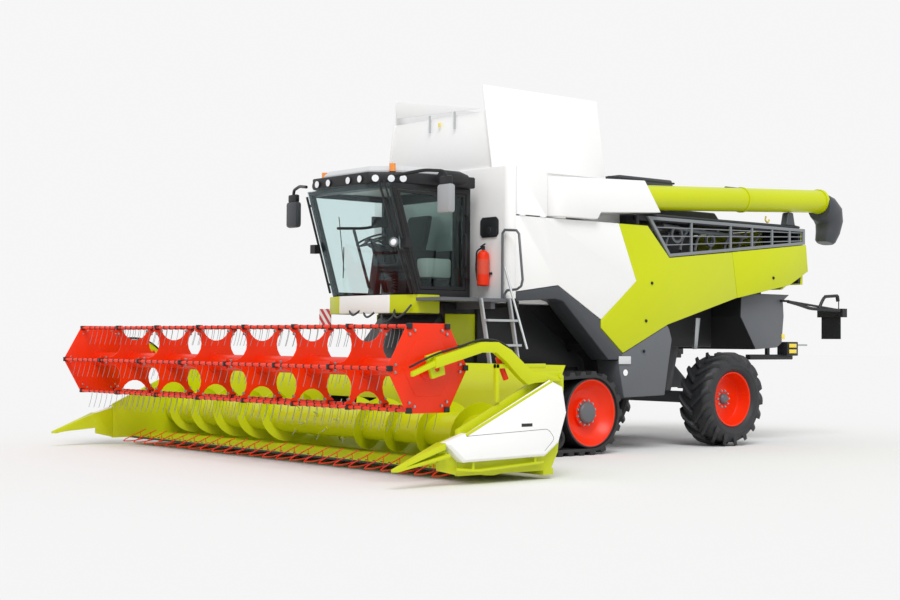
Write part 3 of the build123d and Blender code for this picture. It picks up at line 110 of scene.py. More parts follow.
def linear(code):  # a web colour as linear light
    parts = [int(code[i:i + 2], 16) / 255 for i in (1, 3, 5)]
    return [c / 12.92 if c <= 0.04045 else ((c + 0.055) / 1.055) ** 2.4 for c in parts] + [1.0]


class Finish:  # a material whose nodes are added by name
    def __init__(self, name):
        self.material = bpy.data.materials.new(name)
        self.material.use_nodes = True
        self.tree = self.material.node_tree
        self.shader = self.tree.nodes["Principled BSDF"]
        self.place = self.node("ShaderNodeTexCoord", out="Object")
        axes = self.tree.nodes.new("ShaderNodeSeparateXYZ")
        self.tree.links.new(self.place.socket, axes.inputs[0])
        self.x, self.y, self.z = [Value(self.tree, axes.outputs[i]) for i in range(3)]

    def node(self, kind, settings=None, inputs=None, out=0):
        node = self.tree.nodes.new(kind)
        for name, value in (settings or {}).items():
            if name == "stops":
                ramp = node.color_ramp.elements
                while len(ramp) < len(value):
                    ramp.new(0.5)
                for stop, (place, colour) in zip(ramp, value):
                    stop.position = place
                    stop.color = colour
            else:
                setattr(node, name, value)
        for name, value in (inputs or {}).items():
            self.feed(node.inputs[name], value)
        return Value(self.tree, node.outputs[out])

    def feed(self, socket, value):
        if isinstance(value, Value):
            self.tree.links.new(value.socket, socket)
        else:
            socket.default_value = value

    def noise(self, scale, detail=3.0, roughness=0.55):
        return self.node("ShaderNodeTexNoise", None,
                         {"Vector": self.place, "Scale": scale, "Detail": detail, "Roughness": roughness})

    def mixed(self, share, low, high):
        return self.node("ShaderNodeMix", {"data_type": "RGBA"},
                         {0: share, 6: low, 7: high}, out=2)

    def bumped(self, height, strength, distance):
        return self.node("ShaderNodeBump", None,
                         {"Height": height, "Strength": strength, "Distance": distance})

    def set(self, **values):
        names = {"colour": "Base Color", "roughness": "Roughness", "metallic": "Metallic",
                 "coat": "Coat Weight", "coatRoughness": "Coat Roughness", "normal": "Normal",
                 "specular": "Specular IOR Level", "sheen": "Sheen Weight"}
        for key, value in values.items():
            self.feed(self.shader.inputs[names[key]], value)
        return self.material


paints = {  # base, shade it drifts to, roughness, orange peel, dust near the ground
    "lime": ("#c9d200", "#c0ca00", 0.36, 0.012, 0.05),
    "white": ("#f6f6f5", "#f2f2f2", 0.34, 0.01, 0.03),
    "red": ("#f03300", "#e62a00", 0.36, 0.012, 0.03),
    "darkGrey": ("#45484d", "#3f4247", 0.42, 0.03, 0.12),
    "midGrey": ("#64676c", "#5c5f64", 0.42, 0.03, 0.12),
    "paleGrey": ("#d2d4d6", "#c8cacc", 0.45, 0.03, 0.06),
    "black": ("#1e1f21", "#26272a", 0.48, 0.03, 0.10),
    "paleRed": ("#e0553f", "#d84a35", 0.40, 0.01, 0.02),
    "softGrey": ("#a6a9ac", "#9b9ea1", 0.38, 0.02, 0.04),
    "steelGrey": ("#85898d", "#7b7f83", 0.40, 0.03, 0.08),
}
dustColour = linear("#a39b8c")
dustHeight = 1.1


def paintFinish(name, spec):
    base, drift, roughness, peel, dust = spec
    f = Finish(name)
    broad = f.noise(0.9, 3.0)
    fine = f.noise(260.0, 2.0)
    streak = f.noise(14.0, 5.0, 0.65)
    low = (1.0 - f.z / dustHeight).clamped()
    dirt = (low * low * streak * 2.0 * dust).clamped()
    colour = f.mixed(broad.clamped(), linear(base), linear(drift))
    colour = f.mixed(dirt, colour, dustColour)
    rough = roughness + (streak - 0.5) * 0.12 + dirt * 0.5
    return f.set(colour=colour, roughness=rough, coat=0.06, coatRoughness=0.15, specular=0.3,
                 normal=f.bumped(fine, peel, 0.0006))


def rubberFinish(name, base, dusty, grain):
    f = Finish(name)
    fine = f.noise(grain, 4.0, 0.7)
    broad = f.noise(6.0, 4.0)
    share = ((broad - 0.35) * 1.2).clamped() * 0.6
    colour = f.mixed(share, linear(base), linear(dusty))
    return f.set(colour=colour, roughness=0.46 + fine * 0.25, specular=0.5,
                 normal=f.bumped(fine, 0.35, 0.0015))


def metalFinish(name, base, worn, roughness):
    f = Finish(name)
    scratch = f.noise(60.0, 6.0, 0.7)
    colour = f.mixed(scratch, linear(base), linear(worn))
    return f.set(colour=colour, roughness=roughness + scratch * 0.2, metallic=1.0,
                 normal=f.bumped(scratch, 0.12, 0.0006))


def castFinish():
    f = Finish("castIron")
    grain = f.noise(120.0, 5.0, 0.7)
    broad = f.noise(3.0)
    colour = f.mixed(broad, linear("#4c4f52"), linear("#5f6265"))
    return f.set(colour=colour, roughness=0.55 + grain * 0.2, metallic=0.35,
                 normal=f.bumped(grain, 0.4, 0.0012))


def glassFinish(name, tint, gloss):
    f = Finish(name)
    haze = f.noise(2.2, 4.0)
    clear = f.tree.nodes.new("ShaderNodeBsdfTransparent")
    clear.inputs["Color"].default_value = linear(tint)
    sheen = f.tree.nodes.new("ShaderNodeBsdfGlossy")
    sheen.inputs["Roughness"].default_value = 0.03
    sheen.inputs["Color"].default_value = linear("#dfe9ee")
    rim = f.node("ShaderNodeFresnel", None, {"IOR": 1.45})
    mix = f.tree.nodes.new("ShaderNodeMixShader")
    f.feed(mix.inputs[0], (rim * gloss + haze * 0.02).clamped())
    f.tree.links.new(clear.outputs[0], mix.inputs[1])
    f.tree.links.new(sheen.outputs[0], mix.inputs[2])
    f.tree.links.new(mix.outputs[0], f.tree.nodes["Material Output"].inputs["Surface"])
    return f.material


def fabricFinish():
    f = Finish("seatCloth")
    warp = f.node("ShaderNodeTexWave", {"bands_direction": "X"}, {"Vector": f.place, "Scale": 160.0})
    weft = f.node("ShaderNodeTexWave", {"bands_direction": "Z"}, {"Vector": f.place, "Scale": 160.0})
    weave = warp * weft
    colour = f.mixed(weave, linear("#2b2e33"), linear("#474b52"))
    return f.set(colour=colour, roughness=0.92, sheen=0.2, normal=f.bumped(weave, 0.5, 0.001))


# Lamp and reflector lenses: the ribs mix the base toward a brighter colour, painted glints standing in for light
# caught in the lens
def lensFinish(name, base, paintedGlint):
    f = Finish(name)
    ribs = f.node("ShaderNodeTexWave", {"bands_direction": "X"}, {"Vector": f.place, "Scale": 45.0})
    colour = f.mixed(ribs * 0.6, linear(base), linear(paintedGlint))
    return f.set(colour=colour, roughness=0.08 + ribs * 0.08, coat=0.8, normal=f.bumped(ribs, 0.2, 0.002))


def boardFinish():  # slanted red and white bands of a width marker
    f = Finish("boardBands")
    band = ((f.x + f.z) * 7.0).maths("FRACT") > 0.5
    grain = f.noise(90.0, 3.0)
    colour = f.mixed(band, linear("#e9e6e4"), linear("#c2283a"))
    return f.set(colour=colour, roughness=0.4 + grain * 0.1, normal=f.bumped(grain, 0.05, 0.0006))


finish = {name: paintFinish(name, spec) for name, spec in paints.items()}
finish["trackRubber"] = rubberFinish("trackRubber", "#1f2022", "#3c3c3b", 90.0)
finish["tyreRubber"] = rubberFinish("tyreRubber", "#232427", "#3a3a3b", 130.0)
finish["softRubber"] = rubberFinish("softRubber", "#34363a", "#434548", 60.0)
finish["brightSteel"] = metalFinish("brightSteel", "#c3c6c8", "#999c9e", 0.25)
finish["galvanised"] = metalFinish("galvanised", "#b3b7b9", "#c6cacb", 0.42)
finish["castIron"] = castFinish()
finish["glass"] = glassFinish("cabGlass", "#f3f9f9", 0.07)
finish["sideGlass"] = glassFinish("sideGlass", "#e2ebe7", 0.2)
finish["seatCloth"] = fabricFinish()
# the second colour of each lens is its painted glint
finish["lens"] = lensFinish("lens", "#e4e9ee", "#ffffff")
finish["amber"] = lensFinish("amber", "#ef7f0c", "#ffb24a")
finish["reflector"] = lensFinish("reflector", "#f0d21c", "#fff08a")
finish["boardBands"] = boardFinish()
print("finishes made:", len(finish))

nodeFinish = {
    "track_belts": "trackRubber", "track_wheels": "red", "front_axle": "darkGrey",
    "tyre_left": "tyreRubber", "tyre_right": "tyreRubber", "rim_left": "red", "rim_right": "red",
    "knuckle_left": "castIron", "knuckle_right": "castIron", "rear_axle": "darkGrey",
    "rear_hitch": "castIron",
    "threshing_body": "black", "grain_tank": "white", "front_wall": "white", "tank_flaps": "white",
    "elbow_cover": "white", "auger_tube": "lime", "auger_spout": "softRubber",
    "door_white_left": "white", "door_white_right": "white", "door_lime_left": "lime",
    "door_lime_right": "lime",
    "arch_bands": "darkGrey", "tail_panels": "lime", "side_grilles": "steelGrey", "side_frames": "black",
    "engine": "castIron", "engine_deck": "darkGrey", "chopper_housing": "midGrey",
    "side_boxes": "midGrey", "cab_shell": "black", "cab_glass": "glass", "cab_door": "black",
    "door_glass": "sideGlass", "cab_roof": "paleGrey", "roof_fascia": "black", "cab_rails": "black",
    "cab_apron": "white", "front_lime_panels": "lime", "warning_board": "boardBands", "seat": "seatCloth",
    "console": "black", "lamps": "lens", "mirrors": "darkGrey", "platform": "midGrey", "ladder": "galvanised",
    "extinguisher": "red", "lamp_arms": "black", "feeder_house": "darkGrey", "ram_barrels": "darkGrey",
    "ram_rods": "brightSteel", "table_frame": "lime", "cutter_bar": "red", "crop_lifters": "red",
    "table_shields": "white", "crop_dividers": "lime", "table_auger": "lime", "reel_arms": "lime",
    "reel_carriers": "lime", "reel": "red",
}
for name, key in nodeFinish.items():
    mesh = cad[name].data
    mesh.materials.clear()
    mesh.materials.append(finish[key])


def spread(axis, along, u, v):
    return {"x": (along, u, v), "y": (u, along, v), "z": (u, v, along)}[axis]


def roundedPath(points, bend, steps=5):  # the corners of a path eased into short curves
    corners = [Vector(point) for point in points]
    path = [corners[0]]
    for before, corner, after in zip(corners, corners[1:], corners[2:]):
        if not bend:
            path.append(corner)
            continue
        cut = min(bend, 0.45 * (before - corner).length, 0.45 * (after - corner).length)
        start = corner + (before - corner).normalized() * cut
        end = corner + (after - corner).normalized() * cut
        for k in range(steps + 1):
            t = k / steps
            path.append(start * (1 - t) ** 2 + corner * 2 * t * (1 - t) + end * t * t)
    return path + [corners[-1]]


def dressed(name, mesh, keys, body):
    keys = [keys] if isinstance(keys, str) else keys
    if len(mesh.materials):
        mesh.materials.clear()
    for key in keys:
        mesh.materials.append(finish[key])
    piece = bpy.data.objects.new(name, mesh)
    bpy.context.scene.collection.objects.link(piece)
    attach(piece, body)
    return piece


class Shape:  # the mesh of one piece, gathered from plain forms
    def __init__(self):
        self.bm = bmesh.new()

    def skin(self, rings, easing=0.0, closed=False):
        rows = [[self.bm.verts.new(corner) for corner in ring] for ring in rings]
        if closed:
            rows.append(rows[0])
        faces = []
        for near, far in zip(rows, rows[1:]):
            for i in range(len(near)):
                j = (i + 1) % len(near)
                faces.append(self.bm.faces.new((near[i], near[j], far[j], far[i])))
        if not closed:
            faces += [self.bm.faces.new(rows[0][::-1]), self.bm.faces.new(rows[-1])]
        bmesh.ops.recalc_face_normals(self.bm, faces=faces)
        if easing:
            edges = {edge for face in faces for edge in face.edges}
            sharp = [edge for edge in edges if edge.calc_face_angle(0.0) > math.radians(25)]
            bmesh.ops.bevel(self.bm, geom=sharp, offset=easing, segments=2, profile=0.5,
                            affect="EDGES", clamp_overlap=True)
        return self

    def prism(self, axis, outline, low, high, easing=0.0):
        rings = [[spread(axis, along, *point) for point in outline] for along in (low, high)]
        return self.skin(rings, easing=easing)

    def block(self, x, y, z, easing=0.0):
        return self.prism("x", [(y[0], z[0]), (y[1], z[0]), (y[1], z[1]), (y[0], z[1])], x[0], x[1], easing)

    def turned(self, axis, centre, profile, sides=32, closed=False):
        around = [2 * math.pi * i / sides for i in range(sides)]
        rings = []
        for along, radius in profile:
            radius = max(radius, 0.0001)
            spots = [spread(axis, along, radius * math.cos(a), radius * math.sin(a)) for a in around]
            rings.append([Vector(centre) + Vector(spot) for spot in spots])
        return self.skin(rings, closed=closed)

    def pipe(self, points, radius, sides=10, bend=0.0, steps=5):
        path = roundedPath(points, bend, steps)
        turns = [2 * math.pi * i / sides for i in range(sides)]
        outline = [(radius * math.cos(a), radius * math.sin(a)) for a in turns]
        heading = (path[1] - path[0]).normalized()
        side = heading.cross(Vector((0, 0, 1)))
        side = side.normalized() if side.length > 0.1 else Vector((1, 0, 0))
        rings = []
        for i, point in enumerate(path):
            ahead = path[min(i + 1, len(path) - 1)] - path[max(i - 1, 0)]
            ahead.normalize()
            side = (heading.rotation_difference(ahead) @ side).normalized()
            above = side.cross(ahead)
            rings.append([point + side * u + above * v for u, v in outline])
            heading = ahead
        return self.skin(rings)

    def made(self, name, keys, body, smooth=30):
        mesh = bpy.data.meshes.new(name)
        self.bm.to_mesh(mesh)
        self.bm.free()
        mesh.shade_smooth()
        mesh.set_sharp_from_angle(angle=math.radians(smooth))
        return dressed(name, mesh, keys, body)


def across(side, near, far):  # a span across the machine, on its left for 1 and its right for -1
    return tuple(sorted((side * near, side * far)))


def flipped(side, profile):
    return [(side * along, radius) for along, radius in profile]


merging = {"distance": 0.00002, "flat": 0.8, "corner": 28}   # metres, then degrees


def softened(node, width, keys=None, rule=None, smooth=35):  # a merged copy of a node with eased edges
    bm = bmesh.new()
    bm.from_mesh(cad[node].data)
    bmesh.ops.remove_doubles(bm, verts=bm.verts, dist=merging["distance"])
    flat = math.radians(merging["flat"])
    bmesh.ops.dissolve_limit(bm, angle_limit=flat, verts=bm.verts, edges=bm.edges)
    if width:
        corner = math.radians(merging["corner"])
        sharp = [edge for edge in bm.edges if edge.is_manifold and edge.calc_face_angle(0.0) > corner]
        bmesh.ops.bevel(bm, geom=sharp, offset=width, segments=2, profile=0.5, affect="EDGES",
                        clamp_overlap=True)
    for face in bm.faces:
        face.material_index = rule(face.calc_center_median(), face.normal) if rule else 0
    shape = Shape()
    shape.bm.free()
    shape.bm = bm
    piece = shape.made(node + "_dressed", keys or nodeFinish[node], bodyOf[node], smooth)
    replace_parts(piece, node)
    return piece


def repeatTree():  # sets one pattern on each of a row of points
    tree = bpy.data.node_groups.new("repeatOnPoints", "GeometryNodeTree")
    sockets = {}
    kinds = {"Places": "Geometry", "Pattern": "Object", "Size": "Float", "Finish": "Material"}
    for label, kind in kinds.items():
        sockets[label] = tree.interface.new_socket(name=label, in_out="INPUT",
                                                   socket_type="NodeSocket" + kind)
    tree.interface.new_socket(name="Result", in_out="OUTPUT", socket_type="NodeSocketGeometry")
    nodes, links = tree.nodes, tree.links
    given, result = nodes.new("NodeGroupInput"), nodes.new("NodeGroupOutput")
    pattern = nodes.new("GeometryNodeObjectInfo")
    turn = nodes.new("GeometryNodeInputNamedAttribute")
    turn.data_type = "FLOAT_VECTOR"
    turn.inputs["Name"].default_value = "turn"
    turned = next(socket for socket in turn.outputs if socket.enabled and socket.name == "Attribute")
    onPoints = nodes.new("GeometryNodeInstanceOnPoints")
    realize = nodes.new("GeometryNodeRealizeInstances")
    paint = nodes.new("GeometryNodeSetMaterial")
    links.new(given.outputs["Pattern"], pattern.inputs["Object"])
    links.new(given.outputs["Places"], onPoints.inputs["Points"])
    links.new(pattern.outputs["Geometry"], onPoints.inputs["Instance"])
    links.new(turned, onPoints.inputs["Rotation"])
    links.new(given.outputs["Size"], onPoints.inputs["Scale"])
    links.new(onPoints.outputs["Instances"], realize.inputs["Geometry"])
    links.new(realize.outputs["Geometry"], paint.inputs["Geometry"])
    links.new(given.outputs["Finish"], paint.inputs["Material"])
    links.new(paint.outputs["Geometry"], result.inputs["Result"])
    return tree, {label: socket.identifier for label, socket in sockets.items()}


repeats, repeatInputs = repeatTree()


def repeated(name, pattern, places, key, body, size=1.0, smooth=35):  # places pair a point with its turns
    mesh = bpy.data.meshes.new(name + "Pattern")
    pattern.bm.to_mesh(mesh)
    pattern.bm.free()
    mesh.shade_smooth()
    mesh.set_sharp_from_angle(angle=math.radians(smooth))
    model = bpy.data.objects.new(name + "Pattern", mesh)
    carrier = bpy.data.meshes.new(name)
    carrier.from_pydata([place for place, turn in places], [], [])
    turns = carrier.attributes.new("turn", "FLOAT_VECTOR", "POINT")
    turns.data.foreach_set("vector", [angle for place, turn in places for angle in turn])
    piece = bpy.data.objects.new(name, carrier)
    for item in (model, piece):
        bpy.context.scene.collection.objects.link(item)
    modifier = piece.modifiers.new("repeats", "NODES")
    modifier.node_group = repeats
    modifier[repeatInputs["Pattern"]] = model
    modifier[repeatInputs["Size"]] = size
    modifier[repeatInputs["Finish"]] = finish[key]
    done = piece.evaluated_get(bpy.context.evaluated_depsgraph_get())
    result = bpy.data.meshes.new_from_object(done)
    result.name = name
    for item in (model, piece):
        bpy.data.objects.remove(item)
    bpy.data.meshes.remove(carrier)
    return dressed(name, result, key, body)


upright = (0.0, 0.0, 0.0)


def outward(side):  # turns a pattern drawn up Z so that it stands out from the machine's side
    return (0.0, side * math.pi / 2, 0.0)


def boltHead(radius, height):  # a hexagon head on its washer, standing up Z
    washer, flat = 1.35 * radius, 0.25 * height
    shape = Shape()
    shape.turned("z", (0, 0, 0), [(0, washer), (flat, washer)], 12)
    shape.turned("z", (0, 0, 0), [(flat, radius), (height, radius), (1.15 * height, 0.8 * radius)], 6)
    return shape


# Panels and housings get eased edges, so that light catches them
easedEdges = {
    "front_wall": 0.006, "tank_flaps": 0.006, "elbow_cover": 0.035, "door_white_left": 0.009,
    "door_white_right": 0.009, "door_lime_left": 0.009, "door_lime_right": 0.009, "arch_bands": 0.016,
    "tail_panels": 0.009, "cab_roof": 0.03, "roof_fascia": 0.02, "cab_apron": 0.012,
    "front_lime_panels": 0.01, "crop_dividers": 0.004, "feeder_house": 0.008, "engine_deck": 0.02,
    "cab_shell": 0.006, "console": 0.012,
    "reel_arms": 0.007, "reel_carriers": 0.006, "track_belts": 0.007, "ladder": 0.003, "platform": 0.0,
    "rear_axle": 0.008, "rear_hitch": 0.006, "knuckle_left": 0.003, "knuckle_right": 0.003,
    "side_grilles": 0.003, "front_axle": 0.006, "auger_tube": 0.0, "engine": 0.03, "ram_barrels": 0.0,
    "ram_rods": 0.0, "side_frames": 0.004, "threshing_body": 0.01, "table_frame": 0.003,
}
twoTone = {  # where a panel's second finish begins
    "wellSide": 1.0795, "wellLow": 2.24, "wellHigh": 3.849, "boxInside": 0.81,
    "chopperFront": behind(4.72), "chopperTop": behind(5.2), "facingBack": 0.5,
    "skidUnder": 0.249, "skidTop": 0.3, "skidMiddle": 3.99, "skidHalf": 0.03, "facingSide": 0.1,
    "beaconFoot": 3.69,
}


def inWell(centre, normal):
    return int(abs(centre.x) < twoTone["wellSide"] and twoTone["wellLow"] < centre.z < twoTone["wellHigh"])


def inBox(centre, normal):
    return int(abs(centre.x) < twoTone["boxInside"])


def onChopperFront(centre, normal):
    underTop = normal.y > twoTone["facingBack"] and centre.y < twoTone["chopperTop"]
    return int(centre.y < twoTone["chopperFront"] or underTop)


def onSkid(centre, normal):
    beside = abs(abs(centre.x) - twoTone["skidMiddle"]) < twoTone["skidHalf"]
    leg = abs(normal.x) < twoTone["facingSide"] and centre.z < twoTone["skidTop"] and beside
    return int(centre.z < twoTone["skidUnder"] or leg)


def onBeacon(centre, normal):
    return int(centre.z > twoTone["beaconFoot"])


for node, width in easedEdges.items():
    softened(node, width)
softened("grain_tank", 0.006, ["white", "galvanised"], inWell)
softened("side_boxes", 0.012, ["midGrey", "black"], inBox)
softened("chopper_housing", 0.012, ["midGrey", "black"], onChopperFront)
softened("table_shields", 0.012, ["white", "lime"], onSkid)
softened("lamps", 0.0, ["lens", "amber"], onBeacon)
print("panels eased")


# The reel: end plates, scalloped plates, tine bars and tines
reel = {
    "radius": 0.513, "rim": 1.07, "half": 3.775, "plates": 6, "thick": 0.012, "plateHalf": 0.006,
    "raised": 0.62, "raisedBy": 0.006, "raisedThick": 0.01, "scallop": 0.2, "scallopSteps": 9,
    "cornerFlat": 0.035, "cornerCut": 0.012, "tube": 0.1, "collar": 0.125, "collarHalf": 0.03, "bar": 0.02,
    "stub": [(0, 0.13), (0.02, 0.13), (0.03, 0.06), (0.15, 0.034), (0.15, 0)],
    "blockHalf": (0.02, 0.034, 0.03), "boltShare": 0.86, "boltTurn": 0.09, "bolt": 0.012,
    "tine": [(0, 0.022, 0.02), (0, 0.03, -0.04), (0, 0.012, -0.13), (0, -0.02, -0.23)],
    "tineEvery": 0.151, "tineRadius": 0.003, "tineShift": 0.03, "tineFree": 0.2,
}


def reelCorner(i, share=1.0, turn=0.0):
    angle = i * math.pi / 3 + turn
    return Vector((0, reelPlace.y + share * reel["radius"] * math.cos(angle),
                   reelPlace.z + share * reel["radius"] * math.sin(angle)))


def scallopedOutline():
    outline = []
    hub = Vector((0, reelPlace.y, reelPlace.z))
    depth, steps = reel["scallop"], reel["scallopSteps"]
    for i in range(6):
        before, corner, after = [reelCorner(i + k, reel["rim"]) for k in (-1, 0, 1)]
        arriving, leaving = (corner - before).normalized(), (after - corner).normalized()
        spot = corner + (hub - corner).normalized() * reel["cornerCut"]
        outline += [spot - arriving * reel["cornerFlat"], spot + leaving * reel["cornerFlat"]]
        middle = (corner + after) / 2
        inward = (hub - middle).normalized()
        for k in range(steps + 1):
            a = math.pi * k / steps
            outline.append(middle - leaving * depth * math.cos(a) + inward * depth * math.sin(a))
    return [(point.y, point.z) for point in outline]


def plateSpots():  # the inner plates stand at even steps between the end plates
    step = 2 * reel["half"] / (reel["plates"] + 1)
    return [-reel["half"] + (i + 1) * step for i in range(reel["plates"])]


def addReelFrame():
    half, thick, proud = reel["half"], reel["thick"], reel["raisedBy"]
    hub = (0, reelPlace.y, reelPlace.z)
    shape = Shape()
    plain = [(reelCorner(i, reel["rim"]).y, reelCorner(i, reel["rim"]).z) for i in range(6)]
    for low in (-half, half - thick):
        shape.prism("x", plain, low, low + thick, 0.003)
    share = reel["raised"]
    inner = [(hub[1] + (y - hub[1]) * share, hub[2] + (z - hub[2]) * share) for y, z in plain]
    for low in (-half - proud, half + proud - reel["raisedThick"]):
        shape.prism("x", inner, low, low + reel["raisedThick"], 0.003)
    tube, collar, wide = reel["tube"], reel["collar"], reel["collarHalf"]
    for x in plateSpots():
        shape.prism("x", scallopedOutline(), x - reel["plateHalf"], x + reel["plateHalf"])
        shape.turned("x", (x, *hub[1:]), [(-wide, tube), (-wide, collar), (wide, collar), (wide, tube)], 28)
    shape.turned("x", hub, [(-half, 0), (-half, tube), (half, tube), (half, 0)], 28)
    for side in (-1, 1):
        shape.turned("x", (side * half, *hub[1:]), flipped(side, reel["stub"]), 28)
    for i in range(6):
        bar = [(-half, 0), (-half, reel["bar"]), (half, reel["bar"]), (half, 0)]
        shape.turned("x", (0, *reelCorner(i)[1:]), bar, 14)
    piece = shape.made("reelFrame", "red", "reel_rotor")
    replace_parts(piece, "reel")


def addReelFittings():
    blocks, bolts = Shape(), []
    wide, deep, high = reel["blockHalf"]
    for x in [-reel["half"], reel["half"]] + plateSpots():
        for i in range(6):
            corner = reelCorner(i)
            blocks.block((x - wide, x + wide), (corner.y - deep, corner.y + deep),
                         (corner.z - high, corner.z + high), 0.006)
            for turn in (reel["boltTurn"], -reel["boltTurn"]):
                spot = reelCorner(i, reel["boltShare"], turn)
                for side in (1, -1):
                    bolts.append(((x + side * reel["plateHalf"], spot.y, spot.z), outward(side)))
    blocks.made("reelBearings", "black", "reel_rotor")
    repeated("reelBolts", boltHead(reel["bolt"], reel["bolt"]), bolts, "brightSteel", "reel_rotor")
    tine = Shape().pipe(reel["tine"], reel["tineRadius"], 5, 0.05, 3)
    clamp = Shape().block((-0.009, 0.009), (-0.023, 0.024), (-0.023, 0.022), 0.004)
    count = int((2 * reel["half"] - reel["tineFree"]) / reel["tineEvery"])
    xs = [(k - (count - 1) / 2) * reel["tineEvery"] + reel["tineShift"] for k in range(count)]
    places = [((x, *reelCorner(i)[1:]), upright) for i in range(6) for x in xs]
    repeated("reelTines", tine, places, "steelGrey", "reel_rotor")
    repeated("reelClamps", clamp, places, "black", "reel_rotor")


addReelFrame()
addReelFittings()
print("reel added")


# Wheels that the belts run on. A profile pairs a step in from the outer face with a radius
trackWheel = {
    "outside": 1.615, "inside": 1.04, "bolts": 12, "boltRing": 0.168, "boltSeat": 0.11,
    "wheels": ((-0.39, 0.5703, 0.48), (-2.05, 0.5303, 0.44)), "rollers": ((-1.47, 0.2403), (-1.01, 0.2403)),
    "flange": [(0.17, 0), (0.17, 0.19), (0.115, 0.186), (0.11, 0.178), (0.11, 0)],
    "cap": [(0.12, 0), (0.12, 0.148), (0.075, 0.146), (0.055, 0.128), (0.045, 0.09), (0.04, 0)],
    # the roller's own profile runs from the machine's middle
    "roller": [(1.095, 0), (1.095, 0.15), (1.57, 0.15), (1.588, 0.14), (1.588, 0.1), (1.56, 0.09), (1.56, 0)],
    "dishFloor": [(0.165, 0), (0.165, 0.3), (0.155, 0.325)],
    "dishWall": [(0.03, 0.055), (0.012, 0.045), (0.004, 0.024), (0.05, 0.022)],   # in from the wheel's radius
    "band": [(0.055, 0.024), (0.003, 0.026), (0.0005, 0.012), (0.008, 0.0005)],
}


def addTrackWheels():
    out, inside = trackWheel["outside"], trackWheel["inside"]
    dish, rubber, caps, bolts = Shape(), Shape(), Shape(), []
    for side in (-1, 1):
        for y, z, radius in trackWheel["wheels"]:
            wall = [(out - step, radius - drop) for step, drop in trackWheel["dishWall"]]
            bowl = [(out - step, r) for step, r in trackWheel["dishFloor"]]
            back = [(inside, wall[-1][1]), (inside, 0)]
            dish.turned("x", (0, y, z), flipped(side, bowl + wall + back), 64)
            flange = [(out - step, r) for step, r in trackWheel["flange"]]
            dish.turned("x", (0, y, z), flipped(side, flange), 40)
            cap = [(out - step, r) for step, r in trackWheel["cap"]]
            caps.turned("x", (0, y, z), flipped(side, cap), 40)
            band = [(out - step, radius - drop) for step, drop in trackWheel["band"]]
            band += [(inside, band[-1][1]), (inside, band[0][1])]
            rubber.turned("x", (0, y, z), flipped(side, band), 64, closed=True)
            for k in range(trackWheel["bolts"]):
                turn = 2 * math.pi * (k + 0.5) / trackWheel["bolts"]
                ring = trackWheel["boltRing"]
                boltX = side * (out - trackWheel["boltSeat"])
                place = (boltX, y + ring * math.cos(turn), z + ring * math.sin(turn))
                bolts.append((place, outward(side)))
        for y, z in trackWheel["rollers"]:
            rubber.turned("x", (0, y, z), flipped(side, trackWheel["roller"]), 40)
    piece = dish.made("trackDishes", "red", "chassis")
    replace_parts(piece, "track_wheels")
    rubber.made("trackWheelRubber", "trackRubber", "chassis")
    caps.made("trackHubCaps", "midGrey", "chassis")
    repeated("trackHubBolts", boltHead(0.014, 0.018), bolts, "brightSteel", "chassis")


addTrackWheels()
print("track wheels added")


# Rear wheels: a carcass with curved lugs on a dished rim
rearWheel = {
    "radius": 0.7, "crown": 0.643, "half": 0.275, "shoulder": 0.18, "shoulderRun": 0.09,
    "shoulderDrop": 0.075,
    "wall": [(0.272, 0.55), (0.2745, 0.51), (0.270, 0.505), (0.268, 0.47), (0.255, 0.44), (0.22, 0.421),
             (0.206, 0.397)],
    "treadSteps": range(-26, 27, 4), "lugs": 17, "lugSections": 8, "sweep": 0.40, "sweepPower": 1.25,
    "lugStart": 0.006, "lugLead": 0.12, "lugFoot": 0.088, "lugTop": 0.056, "lugFlare": 0.15, "lugSink": 0.02,
    "lugShoulder": 0.2, "lugRun": 0.07, "lugDrop": 0.055, "lugClear": 0.002,
    "flange": [(0.206, 0.395), (0.219, 0.409), (0.222, 0.403), (0.215, 0.385), (0.16, 0.37), (0.05, 0.358),
               (0.02, 0.34), (0.012, 0.22), (0.03, 0.175), (0.034, 0.06), (0.034, 0)],
    "back": [(-0.06, 0), (-0.06, 0.12), (-0.02, 0.365), (-0.215, 0.375), (-0.219, 0.395)],
    "hub": [(0.03, 0), (0.03, 0.085), (0.06, 0.08), (0.085, 0.055), (0.09, 0)],
    "nuts": 10, "nutRing": 0.125, "nutSeat": 0.034,
}


def carcassRadius(x):  # the tread is flat in the middle and rounds over at the shoulder
    over = max(0.0, (abs(x) - rearWheel["shoulder"]) / rearWheel["shoulderRun"])
    return rearWheel["crown"] - rearWheel["shoulderDrop"] * over ** 1.8


def lugSection(hand, t, lead):  # the four corners of a lug at a share of its way to the shoulder
    x = rearWheel["lugStart"] + t * (rearWheel["half"] - rearWheel["lugStart"] - rearWheel["lugClear"])
    over = max(0.0, (x - rearWheel["lugShoulder"]) / rearWheel["lugRun"])
    top = rearWheel["radius"] - rearWheel["lugClear"] - rearWheel["lugDrop"] * over ** 1.6
    foot = carcassRadius(x) - rearWheel["lugSink"]
    middle = rearWheel["sweep"] * t ** rearWheel["sweepPower"] - rearWheel["lugLead"] + lead
    corners = []
    for width, radius, edges in ((rearWheel["lugFoot"], foot, (-1, 1)), (rearWheel["lugTop"], top, (1, -1))):
        for edge in edges:
            angle = edge * width * 0.5 * (1 + rearWheel["lugFlare"] * t) / radius - middle
            corners.append((hand * x, radius * math.cos(angle), radius * math.sin(angle)))
    return corners


